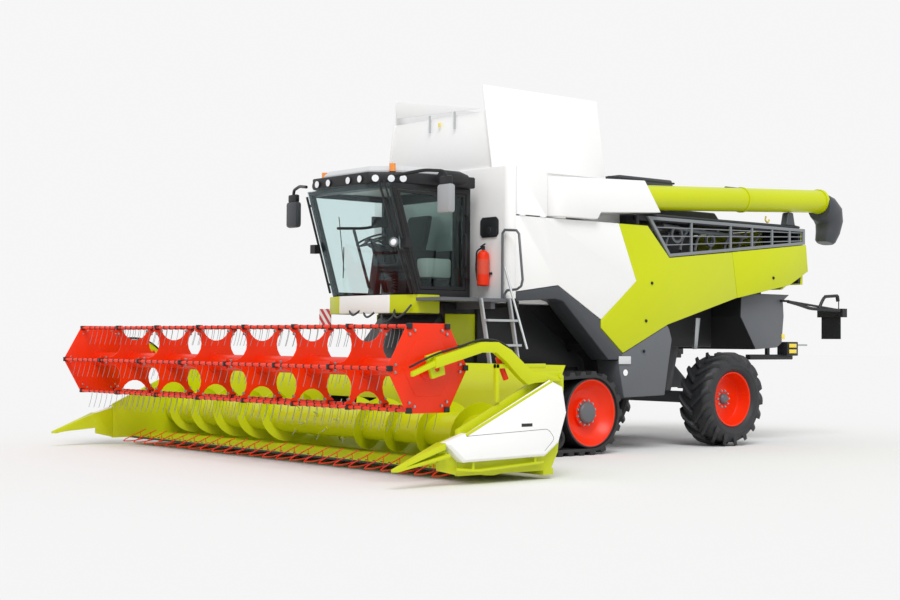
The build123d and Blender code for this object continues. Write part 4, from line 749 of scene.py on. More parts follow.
def addRearWheel(side, name):
    place, body = (side * wheelPlace.x, wheelPlace.y, wheelPlace.z), "wheel_" + name
    tread = [(x / 100, carcassRadius(x / 100)) for x in rearWheel["treadSteps"]]
    wall = rearWheel["wall"]
    tyre = Shape().turned("x", place, tread + wall + flipped(-1, reversed(wall)), 96, closed=True)
    piece = tyre.made("tyreCarcass" + name, "tyreRubber", body, 40)
    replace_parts(piece, "tyre_" + name)
    step = 2 * math.pi / rearWheel["lugs"]
    places = [(place, (i * step, 0, 0)) for i in range(rearWheel["lugs"])]
    for hand in (-1, 1):
        lead = 0.5 * step if hand > 0 else 0.0
        sections = [k / rearWheel["lugSections"] for k in range(rearWheel["lugSections"] + 1)]
        lug = Shape().skin([lugSection(hand, t, lead) for t in sections], easing=0.005)
        where = "In" if hand * side < 0 else "Out"
        repeated("tyreLugs" + name + where, lug, places, "tyreRubber", body)
    rim = Shape().turned("x", place, flipped(side, rearWheel["flange"] + rearWheel["back"]), 72, closed=True)
    piece = rim.made("rimDish" + name, "red", body, 32)
    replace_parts(piece, "rim_" + name)
    Shape().turned("x", place, flipped(side, rearWheel["hub"]), 32).made("wheelHub" + name, "midGrey", body)
    nuts, ring = [], rearWheel["nutRing"]
    for k in range(rearWheel["nuts"]):
        turn = 2 * math.pi * k / rearWheel["nuts"]
        y, z = wheelPlace.y + ring * math.cos(turn), wheelPlace.z + ring * math.sin(turn)
        nuts.append(((side * (wheelPlace.x + rearWheel["nutSeat"]), y, z), outward(side)))
    repeated("wheelNuts" + name, boltHead(0.013, 0.02), nuts, "galvanised", body)


addRearWheel(1, "left")
addRearWheel(-1, "right")
print("rear wheels added")


# Cutting table: knife, auger, end shields and the fittings of the reel arms
table = {
    "half": 3.88, "knifeY": behind(-3.15), "knifeZ": 0.105, "barHalf": 3.875, "free": 0.1,
    "fingerEvery": 0.0762, "fingers": [(0.014, 0.04, -0.008, 0.006), (0.016, -0.02, -0.009, 0.006),
                                       (0.003, -0.105, -0.004, 0.0)],   # half width, y, bottom, top
    "strip": [(0.055, -0.012), (0.055, 0.006), (0.2, 0.012), (0.2, -0.004)], "screwEvery": 0.152,
    "augerHalf": 3.861, "augerTube": 0.205, "flightFoot": 0.2, "flightEdge": 0.328, "flightHalf": 0.006,
    "pitch": 0.62, "flightSteps": 28, "augerFingers": 20, "augerFingerEvery": 0.058, "augerFingerTurn": 137,
    "finger": [(0.19, 0.006), (0.285, 0.006), (0.29, 0.003), (0.29, 0)],
    "guide": [(0.2, 0.03), (0.214, 0.028), (0.216, 0.01), (0.216, 0)],
    "ribs": 13, "ribEvery": 0.6, "ribHalf": 0.012,
    "rib": [(-2.05, 0.62), (-2.035, 0.62), (-2.01, 0.92), (-2.03, 0.92)],
    "stripEdge": [(-2.2, 1.106), (-3.44, 0.552), (-3.44, 0.53), (-2.2, 1.082)],
    "seamX": 4.0546, "seam": [(-3.44, 0.53), (-2.26, 0.57), (-2.16, 0.46), (-2.31, 0.33)],
    "armX": 3.95, "armHoses": ((-0.02, 0.0), (0.025, 0.012)), "wave": 0.012,
    "armLine": [(-4.12, 1.26), (-3.80, 1.38), (-3.50, 1.46), (-3.19, 1.535), (-2.96, 1.535), (-2.8, 1.46),
                (-2.6, 1.31), (-2.5, 1.16)],
    "armRam": ((-2.84, 1.36), (-2.72, 1.12)), "armRamX": 3.86, "lifterEvery": 0.306, "lifterHalf": 3.8,
    "lifterRise": 0.012,
}


def spacedAlong(every, reach):
    count = int(reach / every)
    return [(i - (count - 1) / 2) * every for i in range(count)]


def addKnife():
    y, z, half = table["knifeY"], table["knifeZ"], table["barHalf"]
    rings = [[(-w, at, low), (w, at, low), (w, at, high), (-w, at, high)]
             for w, at, low, high in table["fingers"]]
    finger = Shape().skin(rings, easing=0.002)
    reach = 2 * table["half"] - table["free"]
    places = [((x, y, z), upright) for x in spacedAlong(table["fingerEvery"], reach)]
    piece = repeated("knifeFingers", finger, places, "softRubber", "feeder")
    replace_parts(piece, "cutter_bar")
    bar = Shape().block((-half, half), (y, y + 0.06), (z - 0.009, z + 0.004), 0.002)
    bar.made("knifeBar", "black", "feeder")
    strip = Shape().prism("x", [(y + back, z + up) for back, up in table["strip"]], -half, half, 0.002)
    strip.made("wearStrip", "lime", "feeder")
    screws = [((x, y + 0.1, z + 0.007), upright) for x in spacedAlong(table["screwEvery"], reach)]
    repeated("stripScrews", boltHead(0.014, 0.008), screws, "black", "feeder")


def addTableAuger():
    y, z = augerPlace.y, augerPlace.z
    half, tube, run = table["augerHalf"], table["augerTube"], table["augerHalf"] - table["pitch"]
    shape = Shape().turned("x", (0, y, z), [(-half, 0), (-half, tube), (half, tube), (half, 0)], 48)
    turns = run / table["pitch"]
    steps = int(turns * table["flightSteps"])
    w, foot, edge = table["flightHalf"], table["flightFoot"], table["flightEdge"]
    for hand in (-1, 1):
        rings = []
        for i in range(steps + 1):
            x = hand * (half - 0.01 - i * run / steps)
            a = 2 * math.pi * turns * i / steps
            section = ((-w, foot), (w, foot), (w, edge), (-w, edge))
            rings.append([(x + shift, y + r * math.cos(a), z + r * math.sin(a)) for shift, r in section])
        shape.skin(rings)
    piece = shape.made("intakeAuger", "lime", "intake_auger", 40)
    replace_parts(piece, "table_auger")
    finger = Shape().turned("z", (0, 0, 0), table["finger"], 8)
    guide = Shape().turned("z", (0, 0, 0), table["guide"], 12)
    places, count = [], table["augerFingers"]
    for i in range(count):
        x = (i - (count - 1) / 2) * table["augerFingerEvery"]
        places.append(((x, y, z), (i * math.radians(table["augerFingerTurn"]), 0, 0)))
    repeated("augerFingers", finger, places, "brightSteel", "intake_auger")
    repeated("fingerGuides", guide, places, "lime", "intake_auger")


def addTableDetail():
    ribs, trims, seams, posts = Shape(), Shape(), Shape(), Shape()
    ribLine = [(behind(along), z) for along, z in table["rib"]]
    for i in range(table["ribs"]):
        x = (i - (table["ribs"] - 1) / 2) * table["ribEvery"]
        ribs.prism("x", ribLine, x - table["ribHalf"], x + table["ribHalf"])
    edge = [(behind(along), z) for along, z in table["stripEdge"]]
    for side in (-1, 1):
        trims.prism("x", edge, *across(side, 4.03, 4.0548), 0.002)
        line = [(side * table["seamX"], behind(along), z) for along, z in table["seam"]]
        seams.pipe(line, 0.0025, 5, 0.05, 4)
        seams.block(across(side, 4.05, 4.0566), (behind(-2.66), behind(-2.5)), (0.605, 0.64), 0.0006)
        posts.block(across(side, 3.9, 3.95), (behind(-2.94), behind(-2.89)), (0.87, 1.29), 0.006)
        posts.block(across(side, 3.9, 3.95), (behind(-2.94), behind(-2.2)), (1.24, 1.29), 0.006)
    ribs.made("backRibs", "lime", "feeder")
    trims.made("shieldTopStrips", "lime", "feeder")
    seams.made("shieldSeams", "black", "feeder")
    posts.made("tablePosts", "lime", "feeder")


def addArmFittings():
    hoses, rams = Shape(), Shape()
    for side in (-1, 1):
        for shift, lift in table["armHoses"]:
            x = side * (table["armX"] + shift)
            line = [(x, behind(along), z + lift + table["wave"] * (i % 2))
                    for i, (along, z) in enumerate(table["armLine"])]
            hoses.pipe(line, 0.011, 8, 0.2, 5)
        rams.pipe([(side * table["armRamX"], behind(along), z) for along, z in table["armRam"]], 0.032, 16)
    hoses.made("armHoses", "black", "reel_lift")
    rams.made("armRams", "red", "reel_lift")


def addCropLifters():  # thin red rods that rise back from their tips over the knife
    lifter = Shape()
    lifter.pipe([(0, -0.33, -0.045), (0, -0.2, -0.05), (0, 0.06, -0.012)], 0.0075, 6, 0.08)
    lifter.pipe([(0, -0.33, -0.045), (0, -0.3, -0.02), (0, 0.03, 0.115)], 0.0065, 6, 0.06)
    lifter.pipe([(0, -0.05, -0.03), (0, -0.06, 0.075)], 0.005, 6)
    z = table["knifeZ"] + table["lifterRise"]
    xs = spacedAlong(table["lifterEvery"], 2 * table["lifterHalf"])
    places = [((x, table["knifeY"], z), upright) for x in xs]
    piece = repeated("cropLifters", lifter, places, "red", "feeder")
    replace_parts(piece, "crop_lifters")


addKnife()
addTableAuger()
addTableDetail()
addArmFittings()
addCropLifters()
print("cutting table added")


# Roof lamps and beacons
roofLamp = {
    "z": 3.6223, "radius": 0.046, "lensDepth": 0.024, "bezelDepth": 0.025,
    "row": [(0.224, -2.23, 0.0), (0.48, -2.23, 0.0), (0.68, -2.147, 54.21), (0.80, -1.9805, 54.21),
            (0.89, -1.8555, 54.21)],   # x, behind the front axle, turn
    "beaconX": 0.76, "beaconAlong": -1.93, "beaconFoot": 3.7106,
    "beacon": [(0.012, 0), (0.012, 0.038), (0.08, 0.036), (0.103, 0.026), (0.115, 0.008), (0.115, 0)],
    "beaconBase": [(-0.012, 0), (-0.012, 0.042), (0.012, 0.042), (0.014, 0)],
}


def lampPattern(radius, depth):
    profile = [(0.002, 0), (0.002, radius * 0.8), (depth * 0.8, radius * 0.82), (depth, radius * 0.6),
               (depth * 1.08, 0)]
    return Shape().turned("z", (0, 0, 0), profile, 24)


def bezelPattern(radius, depth):
    profile = [(-0.004, 0), (-0.004, radius), (depth * 0.9, radius), (depth, radius * 0.95),
               (depth, radius * 0.83), (0.003, radius * 0.8), (0.003, 0)]
    return Shape().turned("z", (0, 0, 0), profile, 24)


def addRoofLamps():
    places = []
    for side in (-1, 1):
        for x, along, turn in roofLamp["row"]:
            turns = (math.pi / 2, 0.0, side * math.radians(turn))
            places.append(((side * x, behind(along), roofLamp["z"]), turns))
    lens = lampPattern(roofLamp["radius"], roofLamp["lensDepth"])
    bezel = bezelPattern(roofLamp["radius"], roofLamp["bezelDepth"])
    repeated("roofLampLenses", lens, places, "lens", "chassis")
    repeated("roofLampBezels", bezel, places, "black", "chassis")
    domes, feet = Shape(), Shape()
    for side in (-1, 1):
        spot = (side * roofLamp["beaconX"], behind(roofLamp["beaconAlong"]), roofLamp["beaconFoot"])
        domes.turned("z", spot, roofLamp["beacon"], 24)
        feet.turned("z", spot, roofLamp["beaconBase"], 24)
    domes.made("roofBeacons", "amber", "chassis")
    feet.made("beaconFeet", "black", "chassis")


# Mirrors: a head on each side, hung from the roof, and the round one over the door
mirror = {
    "headX": (1.57, 1.83), "headY": (-3.11, -3.0), "headZ": (3.13, 3.5), "border": 0.03,
    "paneY": (-3.004, -2.996), "paneZ": (3.17, 3.46), "collarX": (1.6, 1.8), "collarY": (-3.09, -3.02),
    "collarZ": (3.49, 3.6),
    "arm": [(1.0, -3.32, 3.64), (1.4, -3.16, 3.69), (1.7, -3.06, 3.66), (1.7, -3.055, 3.48)],
    "roundPlace": (1.15, behind(-1.45), 3.655),
    "round": [(0, 0), (0, 0.07), (0.05, 0.095), (0.3, 0.095), (0.44, 0.06), (0.47, 0)],
}


def addMirrors():
    near, far, arms, panes = Shape(), Shape(), Shape(), Shape()
    border = mirror["border"]
    for side, head in ((1, near), (-1, far)):
        low, high = across(side, *mirror["headX"])
        head.block((low, high), mirror["headY"], mirror["headZ"], 0.04)
        panes.block((low + border, high - border), mirror["paneY"], mirror["paneZ"], 0.003)
        arms.pipe([(side * x, y, z) for x, y, z in mirror["arm"]], 0.022, 10, 0.08)
        arms.block(across(side, *mirror["collarX"]), mirror["collarY"], mirror["collarZ"], 0.02)
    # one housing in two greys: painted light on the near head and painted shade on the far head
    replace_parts(near.made("mirrorNear", "softGrey", "chassis"), "mirrors")
    far.made("mirrorFar", "darkGrey", "chassis")
    arms.made("mirrorArms", "black", "chassis")
    panes.made("mirrorPanes", "brightSteel", "chassis")
    Shape().turned("y", mirror["roundPlace"], mirror["round"], 28).made("sideMirror", "black", "chassis")


# Driver's seat: a post with its bellows, padded cushion and back, and arm rests
seat = {
    "base": ((-0.17, 0.17), (behind(-1.38), behind(-1.02)), (2.135, 2.19)),
    "pan": ((-0.2, 0.2), (behind(-1.4), behind(-0.98)), (2.41, 2.455)),
    "postY": behind(-1.2), "postZ": (2.19, 2.42), "postRadius": 0.085,
    "folds": 5, "foldZ": 2.22, "foldEvery": 0.038, "fold": [(0, 0.09), (0.014, 0.125), (0.028, 0.09)],
    "cushion": ((-0.25, 0.25), (behind(-1.43), behind(-0.95)), (2.46, 2.575)),
    "bolsterX": (0.17, 0.25), "bolsterY": (behind(-1.41), behind(-0.98)), "bolsterZ": (2.55, 2.6),
    "backSections": (0.0, 0.15, 0.5, 0.85, 1.0), "backFoot": (behind(-1.05), 2.585), "backLean": 0.2,
    "backHeight": 0.66, "backHalf": 0.25, "backTaper": 0.07, "backDeep": 0.05,
    "restX": (0.262, 0.33), "restY": (behind(-1.42), behind(-1.06)), "restZ": (2.72, 2.765),
    "restArm": [(0.29, behind(-1.1), 2.73), (0.27, behind(-1.06), 2.6)],
}


def backSection(t):
    y, z = seat["backFoot"][0] + seat["backLean"] * t, seat["backFoot"][1] + seat["backHeight"] * t
    half, deep = seat["backHalf"] - seat["backTaper"] * max(0.0, t - 0.5), seat["backDeep"]
    return [(-half, y - deep, z), (half, y - deep, z), (half, y + deep, z), (-half, y + deep, z)]


def addSeat():
    base = Shape()
    base.block(*seat["base"], 0.01)
    base.pipe([(0, seat["postY"], z) for z in seat["postZ"]], seat["postRadius"], 20)
    for k in range(seat["folds"]):
        base.turned("z", (0, seat["postY"], seat["foldZ"] + k * seat["foldEvery"]), seat["fold"], 20)
    base.block(*seat["pan"], 0.01)
    base.made("seatBase", "black", "chassis")
    cushion = Shape().block(*seat["cushion"], 0.03)
    arms = Shape()
    for side in (-1, 1):
        cushion.block(across(side, *seat["bolsterX"]), seat["bolsterY"], seat["bolsterZ"], 0.018)
        arms.block(across(side, *seat["restX"]), seat["restY"], seat["restZ"], 0.018)
        arms.pipe([(side * x, y, z) for x, y, z in seat["restArm"]], 0.016, 8)
    cushion = cushion.made("seatCushion", "seatCloth", "chassis", 60)
    back = Shape().skin([backSection(t) for t in seat["backSections"]], easing=0.03)
    back = back.made("seatBack", "seatCloth", "chassis", 60)
    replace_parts(cushion, "seat")
    arms.made("seatArms", "black", "chassis")


# What shows through the cab's glass
cabInside = {
    "wheelCentre": (0, -2.95, 2.88), "wheelTilt": 26, "wheelRadius": 0.2, "spokes": (0.5, 2.64, 4.71),
    "displayArm": [(0.42, -3.8, 2.97), (0.42, -3.4, 2.99), (0.42, -3.1, 3.04)],
    "display": ((0.40, 0.44), (-3.25, -2.99), (3.02, 3.155)), "column": [(0, -2.69, 2.18), (0, -2.92, 2.84)],
    "rail": [(0.02, -2.99, 2.24), (0.02, -3.25, 3.0)], "box": ((0.5, 0.72), (-2.57, -2.14), (2.37, 2.63)),
    "lining": ((-0.72, 0.72), (-3.3, -2.2), (3.555, 3.565)),
    "vent": ((-0.5, 0.5), (-3.2, -2.9), (3.52, 3.556)),
}


def wheelPoint(angle):
    tilt, radius = math.radians(cabInside["wheelTilt"]), cabInside["wheelRadius"]
    reach = radius * math.sin(angle)
    spot = Vector((radius * math.cos(angle), reach * math.cos(tilt), reach * math.sin(tilt)))
    return Vector(cabInside["wheelCentre"]) + spot


def addCabInside():
    dark = Shape()
    dark.pipe(cabInside["displayArm"], 0.018, 8, 0.08)
    dark.block(*cabInside["display"], 0.012)
    dark.pipe(cabInside["column"], 0.035, 12)
    dark.pipe(cabInside["rail"], 0.02, 8)
    dark.made("cabStalks", "black", "chassis")
    wheel = Shape().pipe([wheelPoint(2 * math.pi * k / 32) for k in range(33)], 0.014, 8)
    for angle in cabInside["spokes"]:
        wheel.pipe([Vector(cabInside["wheelCentre"]), wheelPoint(angle)], 0.012, 6)
    wheel.made("steeringWheel", "black", "chassis")
    Shape().block(*cabInside["box"], 0.03).made("cabBox", "paleGrey", "chassis")
    lining = Shape().block(*cabInside["lining"], 0.004).block(*cabInside["vent"], 0.014)
    lining.made("headliner", "paleGrey", "chassis")


# What hangs on the cab and the wall beside it
cabOutside = {
    "wiper": [[(0.15, behind(-2.2605), 2.35), (0.18, behind(-2.275), 2.75)],
              [(0.18, behind(-2.27), 2.45), (0.10, behind(-2.3), 3.15)]], "wiperRadii": (0.007, 0.006),
    "hoseEnds": (-2.98, 2.0),
    "hoses": ((0.12, 1.83), (0.51, 1.76), (0.77, 1.82), (-0.2, 1.86)),   # x, lowest z
    "ladderRail": [(1.75, -2.11, 2.49), (1.89, -2.11, 2.14), (2.18, -2.11, 1.44)],
    "plate": [(0.99, 2.915), (1.26, 2.915), (1.305, 2.96), (1.305, 3.14), (1.26, 3.185), (0.99, 3.185),
              (0.945, 3.14), (0.945, 2.96)], "plateY": (-1.842, -1.822),
    "latch": [(-1.852, 0), (-1.852, 0.045), (-1.842, 0.05), (-1.842, 0)],
    "rails": [([(0.93, -3.53, 3.56), (0.93, -2.99, 2.16)], 0.016),
              ([(0.99, -3.49, 3.56), (0.99, -2.95, 2.16)], 0.014)],
    "railLamp": ((0.95, -3.29, 2.79), (math.pi / 2 - 0.2, 0.0, 0.4)),
}
extinguisher = {
    "place": (1.09, -1.905), "foot": 2.27, "neck": 2.75, "labelZ": 2.42,
    "body": [(0, 0), (0, 0.07), (0.012, 0.082), (0.4, 0.082), (0.44, 0.07), (0.47, 0.034), (0.48, 0)],
    "valve": [(0, 0), (0, 0.026), (0.05, 0.024), (0.05, 0)],
    "label": [(0, 0.0825), (0, 0.0835), (0.2, 0.0835), (0.2, 0.0825)],
    "lever": [(-0.03, -0.02, 2.79), (0.09, -0.05, 2.82)],   # out from the bottle's middle
    "hose": [(-0.02, 0, 2.78), (-0.1, -0.03, 2.74), (-0.115, -0.03, 2.5), (-0.09, -0.02, 2.34)],
}


def addCabOutside():
    black = Shape()
    for line, radius in zip(cabOutside["wiper"], cabOutside["wiperRadii"]):
        black.pipe(line, radius, 6)
    endY, endZ = cabOutside["hoseEnds"]
    for x, z in cabOutside["hoses"]:
        black.pipe([(x - 0.15, endY, endZ), (x - 0.12, -3.07, z + 0.07), (x, -3.1, z),
                    (x + 0.12, -3.07, z + 0.07), (x + 0.15, endY, endZ)], 0.014, 8, 0.2, 6)
    black.made("apronHoses", "softRubber", "chassis")
    Shape().pipe(cabOutside["ladderRail"], 0.015, 8, 0.1).made("ladderRail", "galvanised", "chassis")
    plate = Shape().prism("y", cabOutside["plate"], *cabOutside["plateY"], 0.006)
    plate.turned("y", (1.125, 0, 3.0), cabOutside["latch"], 20)
    plate.made("wallPlate", "black", "chassis")


def addExtinguisher():
    x, y = extinguisher["place"]
    bottle = Shape().turned("z", (x, y, extinguisher["foot"]), extinguisher["body"], 28)
    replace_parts(bottle.made("extinguisherBottle", "red", "chassis"), "extinguisher")
    trim = Shape().turned("z", (x, y, extinguisher["neck"]), extinguisher["valve"], 16)
    lever, hose = [[(x + right, y + back, z) for right, back, z in extinguisher[part]]
                   for part in ("lever", "hose")]
    trim.pipe(lever, 0.011, 8)
    trim.pipe(hose, 0.012, 8, 0.06)
    trim.block((x - 0.09, x + 0.09), (y + 0.05, y + 0.09), (2.42, 2.45), 0.004)
    trim.made("extinguisherHose", "black", "chassis")
    label = Shape().turned("z", (x, y, extinguisher["labelZ"]), extinguisher["label"], 28, closed=True)
    label.made("extinguisherLabel", "paleRed", "chassis")


def addScreenRails():  # the bars before the windscreen, with their lamp
    rails = Shape()
    for line, radius in cabOutside["rails"]:
        rails.pipe(line, radius, 8)
    rails.made("windscreenRails", "black", "chassis")
    repeated("railLampLenses", lampPattern(0.052, 0.03), [cabOutside["railLamp"]], "lens", "chassis")
    repeated("railLampBezels", bezelPattern(0.062, 0.03), [cabOutside["railLamp"]], "steelGrey", "chassis")


addRoofLamps()
addMirrors()
addSeat()
addCabInside()
addCabOutside()
addExtinguisher()
addScreenRails()
print("cab dressed")


# Pipes that show behind the side grilles
engineLine = {
    "x": 1.22, "stubs": 7, "first": behind(2.75), "every": 0.33,
    "stub": ((0.0, 0.0, 2.9), (0.05, 0.1, 3.08), (0.0, 0.2, 3.24)),   # inward, back, z
    "long": [(2.7, 3.25), (3.4, 3.2), (4.6, 3.17)],
    "pulleys": ((behind(3.0), 3.13, 0.13), (behind(3.75), 3.08, 0.1)), "pulleyHalf": 0.02, "pulleyBore": 0.7,
}


def addEngineLines():
    pipes = Shape()
    half, bore = engineLine["pulleyHalf"], engineLine["pulleyBore"]
    for side in (-1, 1):
        x = side * engineLine["x"]
        for k in range(engineLine["stubs"]):
            y = engineLine["first"] + engineLine["every"] * k
            stub = [(x - side * inward, y + back, z) for inward, back, z in engineLine["stub"]]
            pipes.pipe(stub, 0.022, 8, 0.12)
        pipes.pipe([(x, behind(along), z) for along, z in engineLine["long"]], 0.03, 8, 0.2)
        for y, z, radius in engineLine["pulleys"]:
            ring = [(-half, radius * bore), (-half, radius), (half, radius), (half, radius * bore)]
            pipes.turned("x", (x, y, z), ring, 28, closed=True)
    pipes.made("engineLines", "steelGrey", "chassis")


# Tank covers: the folded gusset, its struts and a catch
cover = {
    "y": -1.81, "thick": 0.012, "gusset": [(-0.95, 4.965), (0.93, 4.66), (-0.92, 4.72)],
    "struts": (-0.17, 0.37), "strutZ": (4.44, 4.68), "catchX": (0.03, 0.075), "catchZ": (4.5, 4.56),
}


def addTankFittings():
    y = cover["y"]
    gusset = Shape().prism("y", cover["gusset"], y - cover["thick"], y, 0.003)
    gusset.made("tankGusset", "white", "chassis")
    struts = Shape()
    for x in cover["struts"]:
        struts.pipe([(x, y - 0.006, z) for z in cover["strutZ"]], 0.014, 8)
    struts.made("tankStruts", "galvanised", "chassis")
    catch = Shape().block(cover["catchX"], (y - 0.02, y - 0.006), cover["catchZ"], 0.004)
    catch.made("tankTag", "reflector", "chassis")


# Unloading auger: its bent spout, the seal on its elbow and the pipe along the tube
unloader = {
    "overlap": 0.03, "sides": 28, "squareness": 0.12, "squareTilt": 60,
    # along, drop, tilt, half height and half width of each section
    "spout": [(0.0, 0.0, 0, 0.215, 0.215), (0.04, 0.0, 4, 0.235, 0.235), (0.14, 0.03, 25, 0.235, 0.23),
              (0.24, 0.11, 52, 0.23, 0.22), (0.275, 0.24, 80, 0.2, 0.2), (0.235, 0.4, 100, 0.165, 0.18),
              (0.17, 0.54, 104, 0.135, 0.155), (0.16, 0.57, 104, 0.11, 0.13)],
    "seal": ((1.345, 1.375), (behind(1.42), behind(2.79)), (3.842, 3.868)),
    "pipe": [(3.91, 3.85), (3.93, 3.885), (4.49, 3.885), (4.51, 3.85)],
    "hookX": 1.36, "hook": [(4.9, 3.5), (4.88, 3.44), (4.94, 3.4), (4.98, 3.45)],
}


def spoutSection(startY, startZ, along, drop, tilt, half, wide):
    y, z = startY + along, startZ - drop
    lean = math.radians(tilt)
    ring = []
    for k in range(unloader["sides"]):
        turn = 2 * math.pi * k / unloader["sides"]
        square = (1 - abs(math.cos(2 * turn))) * min(1.0, tilt / unloader["squareTilt"])
        swell = 1 + unloader["squareness"] * square
        up, out = swell * half * math.cos(turn), swell * wide * math.sin(turn)
        ring.append((unloaderPlace.x + out, y + up * math.sin(lean), z + up * math.cos(lean)))
    return ring


def addUnloaderFittings():
    tubeLow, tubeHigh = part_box("auger_tube")
    startY, startZ = tubeHigh[1] - unloader["overlap"], (tubeLow[2] + tubeHigh[2]) / 2
    spout = Shape().skin([spoutSection(startY, startZ, *row) for row in unloader["spout"]])
    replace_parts(spout.made("unloaderSpout", "darkGrey", "unloader", 50), "auger_spout")
    Shape().block(*unloader["seal"], 0.006).made("elbowSeal", "black", "unloader")
    line = [(unloaderPlace.x, behind(along), z) for along, z in unloader["pipe"]]
    pipe = Shape().pipe(line, 0.013, 8, 0.02)
    pipe.made("tubePipe", "darkGrey", "unloader")
    line = [(unloader["hookX"], behind(along), z) for along, z in unloader["hook"]]
    hook = Shape().pipe(line, 0.014, 8, 0.03)
    hook.made("tubeHook", "reflector", "chassis")


# Catches, blank plates, reflectors and bars along the sides and at the tail
sideFit = {
    "x": 1.5045, "catches": ((2.17, 2.38), (2.05, 1.84), (4.90, 2.54), (2.01, 1.41)),
    "discPlace": (1.4955, 0.39, 1.11), "disc": [(0, 0), (0, 0.045), (0.004, 0.045), (0.005, 0)],
    "plate": ((1.494, 1.51), (0.25, 0.49), (1.23, 1.34)),
    "reflectorX": (1.292, 1.304), "reflectorY": (behind(5.36), behind(5.44)), "reflectorZ": (1.6, 1.68),
    "postX": (0.97, 1.01), "post": [(3.64, 1.44), (3.71, 1.44), (3.78, 1.91), (3.68, 1.91)],
    "rod": [(1.2, 4.5, 1.51), (1.2, 4.88, 1.51)],
    "frame": [((1.12, 1.22), (3.45, 4.5), (1.28, 1.36), 0.01),
              ((1.1, 1.3), (4.25, 4.53), (1.34, 1.56), 0.012),
              ((1.15, 1.2), (3.88, 3.95), (1.3, 1.75), 0.008)],
    "tagX": (1.3, 1.306), "tagY": (4.3, 4.48), "tagFeet": (1.38, 1.47), "tagHigh": 0.06, "lampArmX": 1.4,
    "lampArm": [([(4.14, 2.19), (4.4, 2.15), (4.7, 2.09), (5.46, 2.07)], 0.026),
                ([(4.92, 2.07), (5.0, 2.2), (5.08, 2.29), (5.41, 2.31)], 0.026),
                ([(5.41, 2.31), (5.43, 2.22)], 0.03)],
}


def addSideFittings():
    catches = [((side * sideFit["x"], behind(along), z), outward(side))
               for side in (-1, 1) for along, z in sideFit["catches"]]
    repeated("panelCatches", boltHead(0.018, 0.014), catches, "black", "chassis")
    Shape().turned("x", sideFit["discPlace"], sideFit["disc"], 28).made("blankDisc", "white", "chassis")
    Shape().block(*sideFit["plate"], 0.006).made("blankPlate", "paleGrey", "chassis")
    yellow, posts = Shape(), Shape()
    line = [(behind(along), z) for along, z in sideFit["post"]]
    for side in (-1, 1):
        yellow.block(across(side, *sideFit["reflectorX"]), sideFit["reflectorY"],
                     sideFit["reflectorZ"], 0.003)
        posts.prism("x", line, *across(side, *sideFit["postX"]), 0.004)
    yellow.made("rearReflectors", "reflector", "chassis")
    posts.made("archPosts", "galvanised", "chassis")


def addTailFittings():
    rods, bars, tags = Shape(), Shape(), Shape()
    for side in (-1, 1):
        rods.pipe([(side * x, y, z) for x, y, z in sideFit["rod"]], 0.014, 8)
        for x, y, z, easing in sideFit["frame"]:
            bars.block(across(side, *x), y, z, easing)
        for foot in sideFit["tagFeet"]:
            tags.block(across(side, *sideFit["tagX"]), sideFit["tagY"],
                       (foot, foot + sideFit["tagHigh"]), 0.002)
    rods.made("tailRods", "galvanised", "chassis")
    bars.made("tailFrame", "black", "chassis")
    tags.made("tailReflectors", "reflector", "chassis")
    arm = Shape()
    for line, radius in sideFit["lampArm"]:
        bend = 0.1 if len(line) > 2 else 0.0
        arm.pipe([(sideFit["lampArmX"], y, z) for y, z in line], radius, 10, bend)
    arm.made("lampArmCover", "black", "chassis")


addEngineLines()
addTankFittings()
addUnloaderFittings()
addSideFittings()
addTailFittings()
print("sides dressed")


# Camera where the photographer stood
shot = {"place": (16.3217, -15.1213, 1.5288), "heading": 50.2957, "pitch": 1.566, "roll": 0.377,
        "lens": 60.84, "sensor": 36.0}


def placeCamera():
    data = bpy.data.cameras.new("camera")
    camera = bpy.data.objects.new("camera", data)
    bpy.context.scene.collection.objects.link(camera)
    a, p, r = [math.radians(shot[k]) for k in ("heading", "pitch", "roll")]
    ahead = Vector((-math.sin(a) * math.cos(p), math.cos(a) * math.cos(p), math.sin(p)))
    level = Vector((math.cos(a), math.sin(a), 0))
    above = level.cross(ahead)
    side = level * math.cos(r) + above * math.sin(r)
    top = above * math.cos(r) - level * math.sin(r)
    turn = Matrix((side, top, -ahead)).transposed()
    camera.matrix_world = Matrix.Translation(shot["place"]) @ turn.to_4x4()
    data.lens = shot["lens"]
    data.sensor_width = shot["sensor"]
    data.clip_end = 400.0
    bpy.context.scene.camera = camera


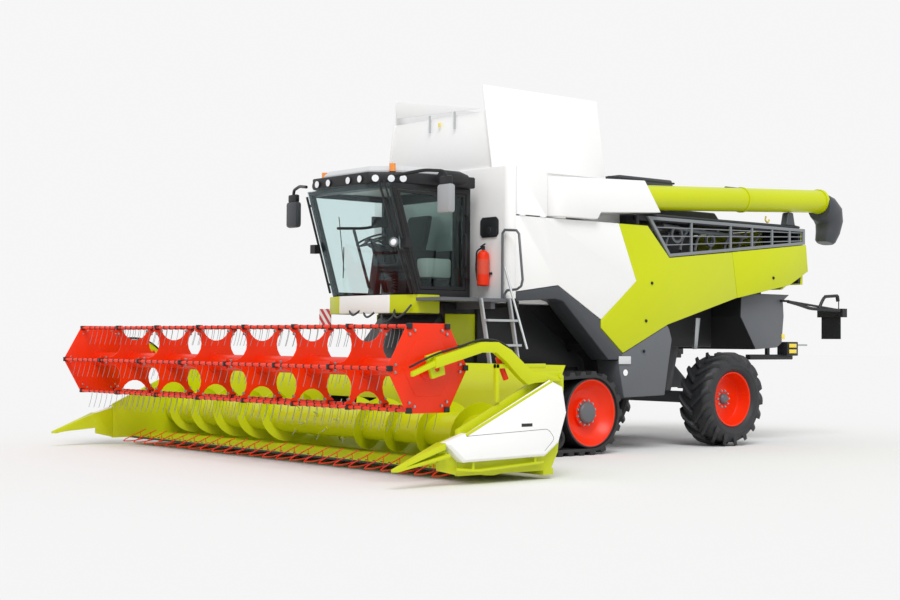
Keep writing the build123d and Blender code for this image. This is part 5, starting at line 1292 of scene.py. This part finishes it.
studio = {"floor": "#ebebeb", "backdrop": 0.925, "sky": 0.68, "sun": 1.85, "sunAngle": 32.0,
          "sunFrom": (0.75, -0.55, 1.0), "floorReach": 160.0}


def lightStudio():
    scene = bpy.context.scene
    scene.view_settings.view_transform = "Standard"
    world = bpy.data.worlds.new("studio")
    scene.world = world
    world.use_nodes = True
    tree = world.node_tree
    lamp = tree.nodes["Background"]
    seen = tree.nodes.new("ShaderNodeBackground")
    seen.inputs["Color"].default_value = [studio["backdrop"]] * 3 + [1.0]
    seen.inputs["Strength"].default_value = 1.0
    lamp.inputs["Color"].default_value = (1.0, 1.0, 1.0, 1.0)
    lamp.inputs["Strength"].default_value = studio["sky"]
    path = tree.nodes.new("ShaderNodeLightPath")
    camera = Value(tree, path.outputs["Is Camera Ray"])
    glossy = Value(tree, path.outputs["Is Glossy Ray"])
    through = Value(tree, path.outputs["Is Transmission Ray"])
    share = (camera + glossy + through).clamped()
    mix = tree.nodes.new("ShaderNodeMixShader")
    tree.links.new(share.socket, mix.inputs[0])
    tree.links.new(lamp.outputs[0], mix.inputs[1])
    tree.links.new(seen.outputs[0], mix.inputs[2])
    tree.links.new(mix.outputs[0], tree.nodes["World Output"].inputs["Surface"])
    data = bpy.data.lights.new("sun", "SUN")
    data.energy = studio["sun"]
    data.angle = math.radians(studio["sunAngle"])
    sun = bpy.data.objects.new("sun", data)
    scene.collection.objects.link(sun)
    sun.rotation_mode = "QUATERNION"
    sun.rotation_quaternion = Vector(studio["sunFrom"]).to_track_quat("Z", "Y")
    reach = studio["floorReach"]
    mesh = bpy.data.meshes.new("floor")
    corners = [(-reach, -reach, 0), (reach, -reach, 0), (reach, reach, 0), (-reach, reach, 0)]
    mesh.from_pydata(corners, [], [(0, 1, 2, 3)])
    floor = bpy.data.objects.new("floor", mesh)
    scene.collection.objects.link(floor)
    f = Finish("studioFloor")
    speck = f.noise(3.0, 4.0)
    colour = f.mixed(speck, linear(studio["floor"]), linear("#eaeaea"))
    mesh.materials.append(f.set(colour=colour, roughness=0.95, specular=0.0))


placeCamera()
lightStudio()
print("camera and light placed")
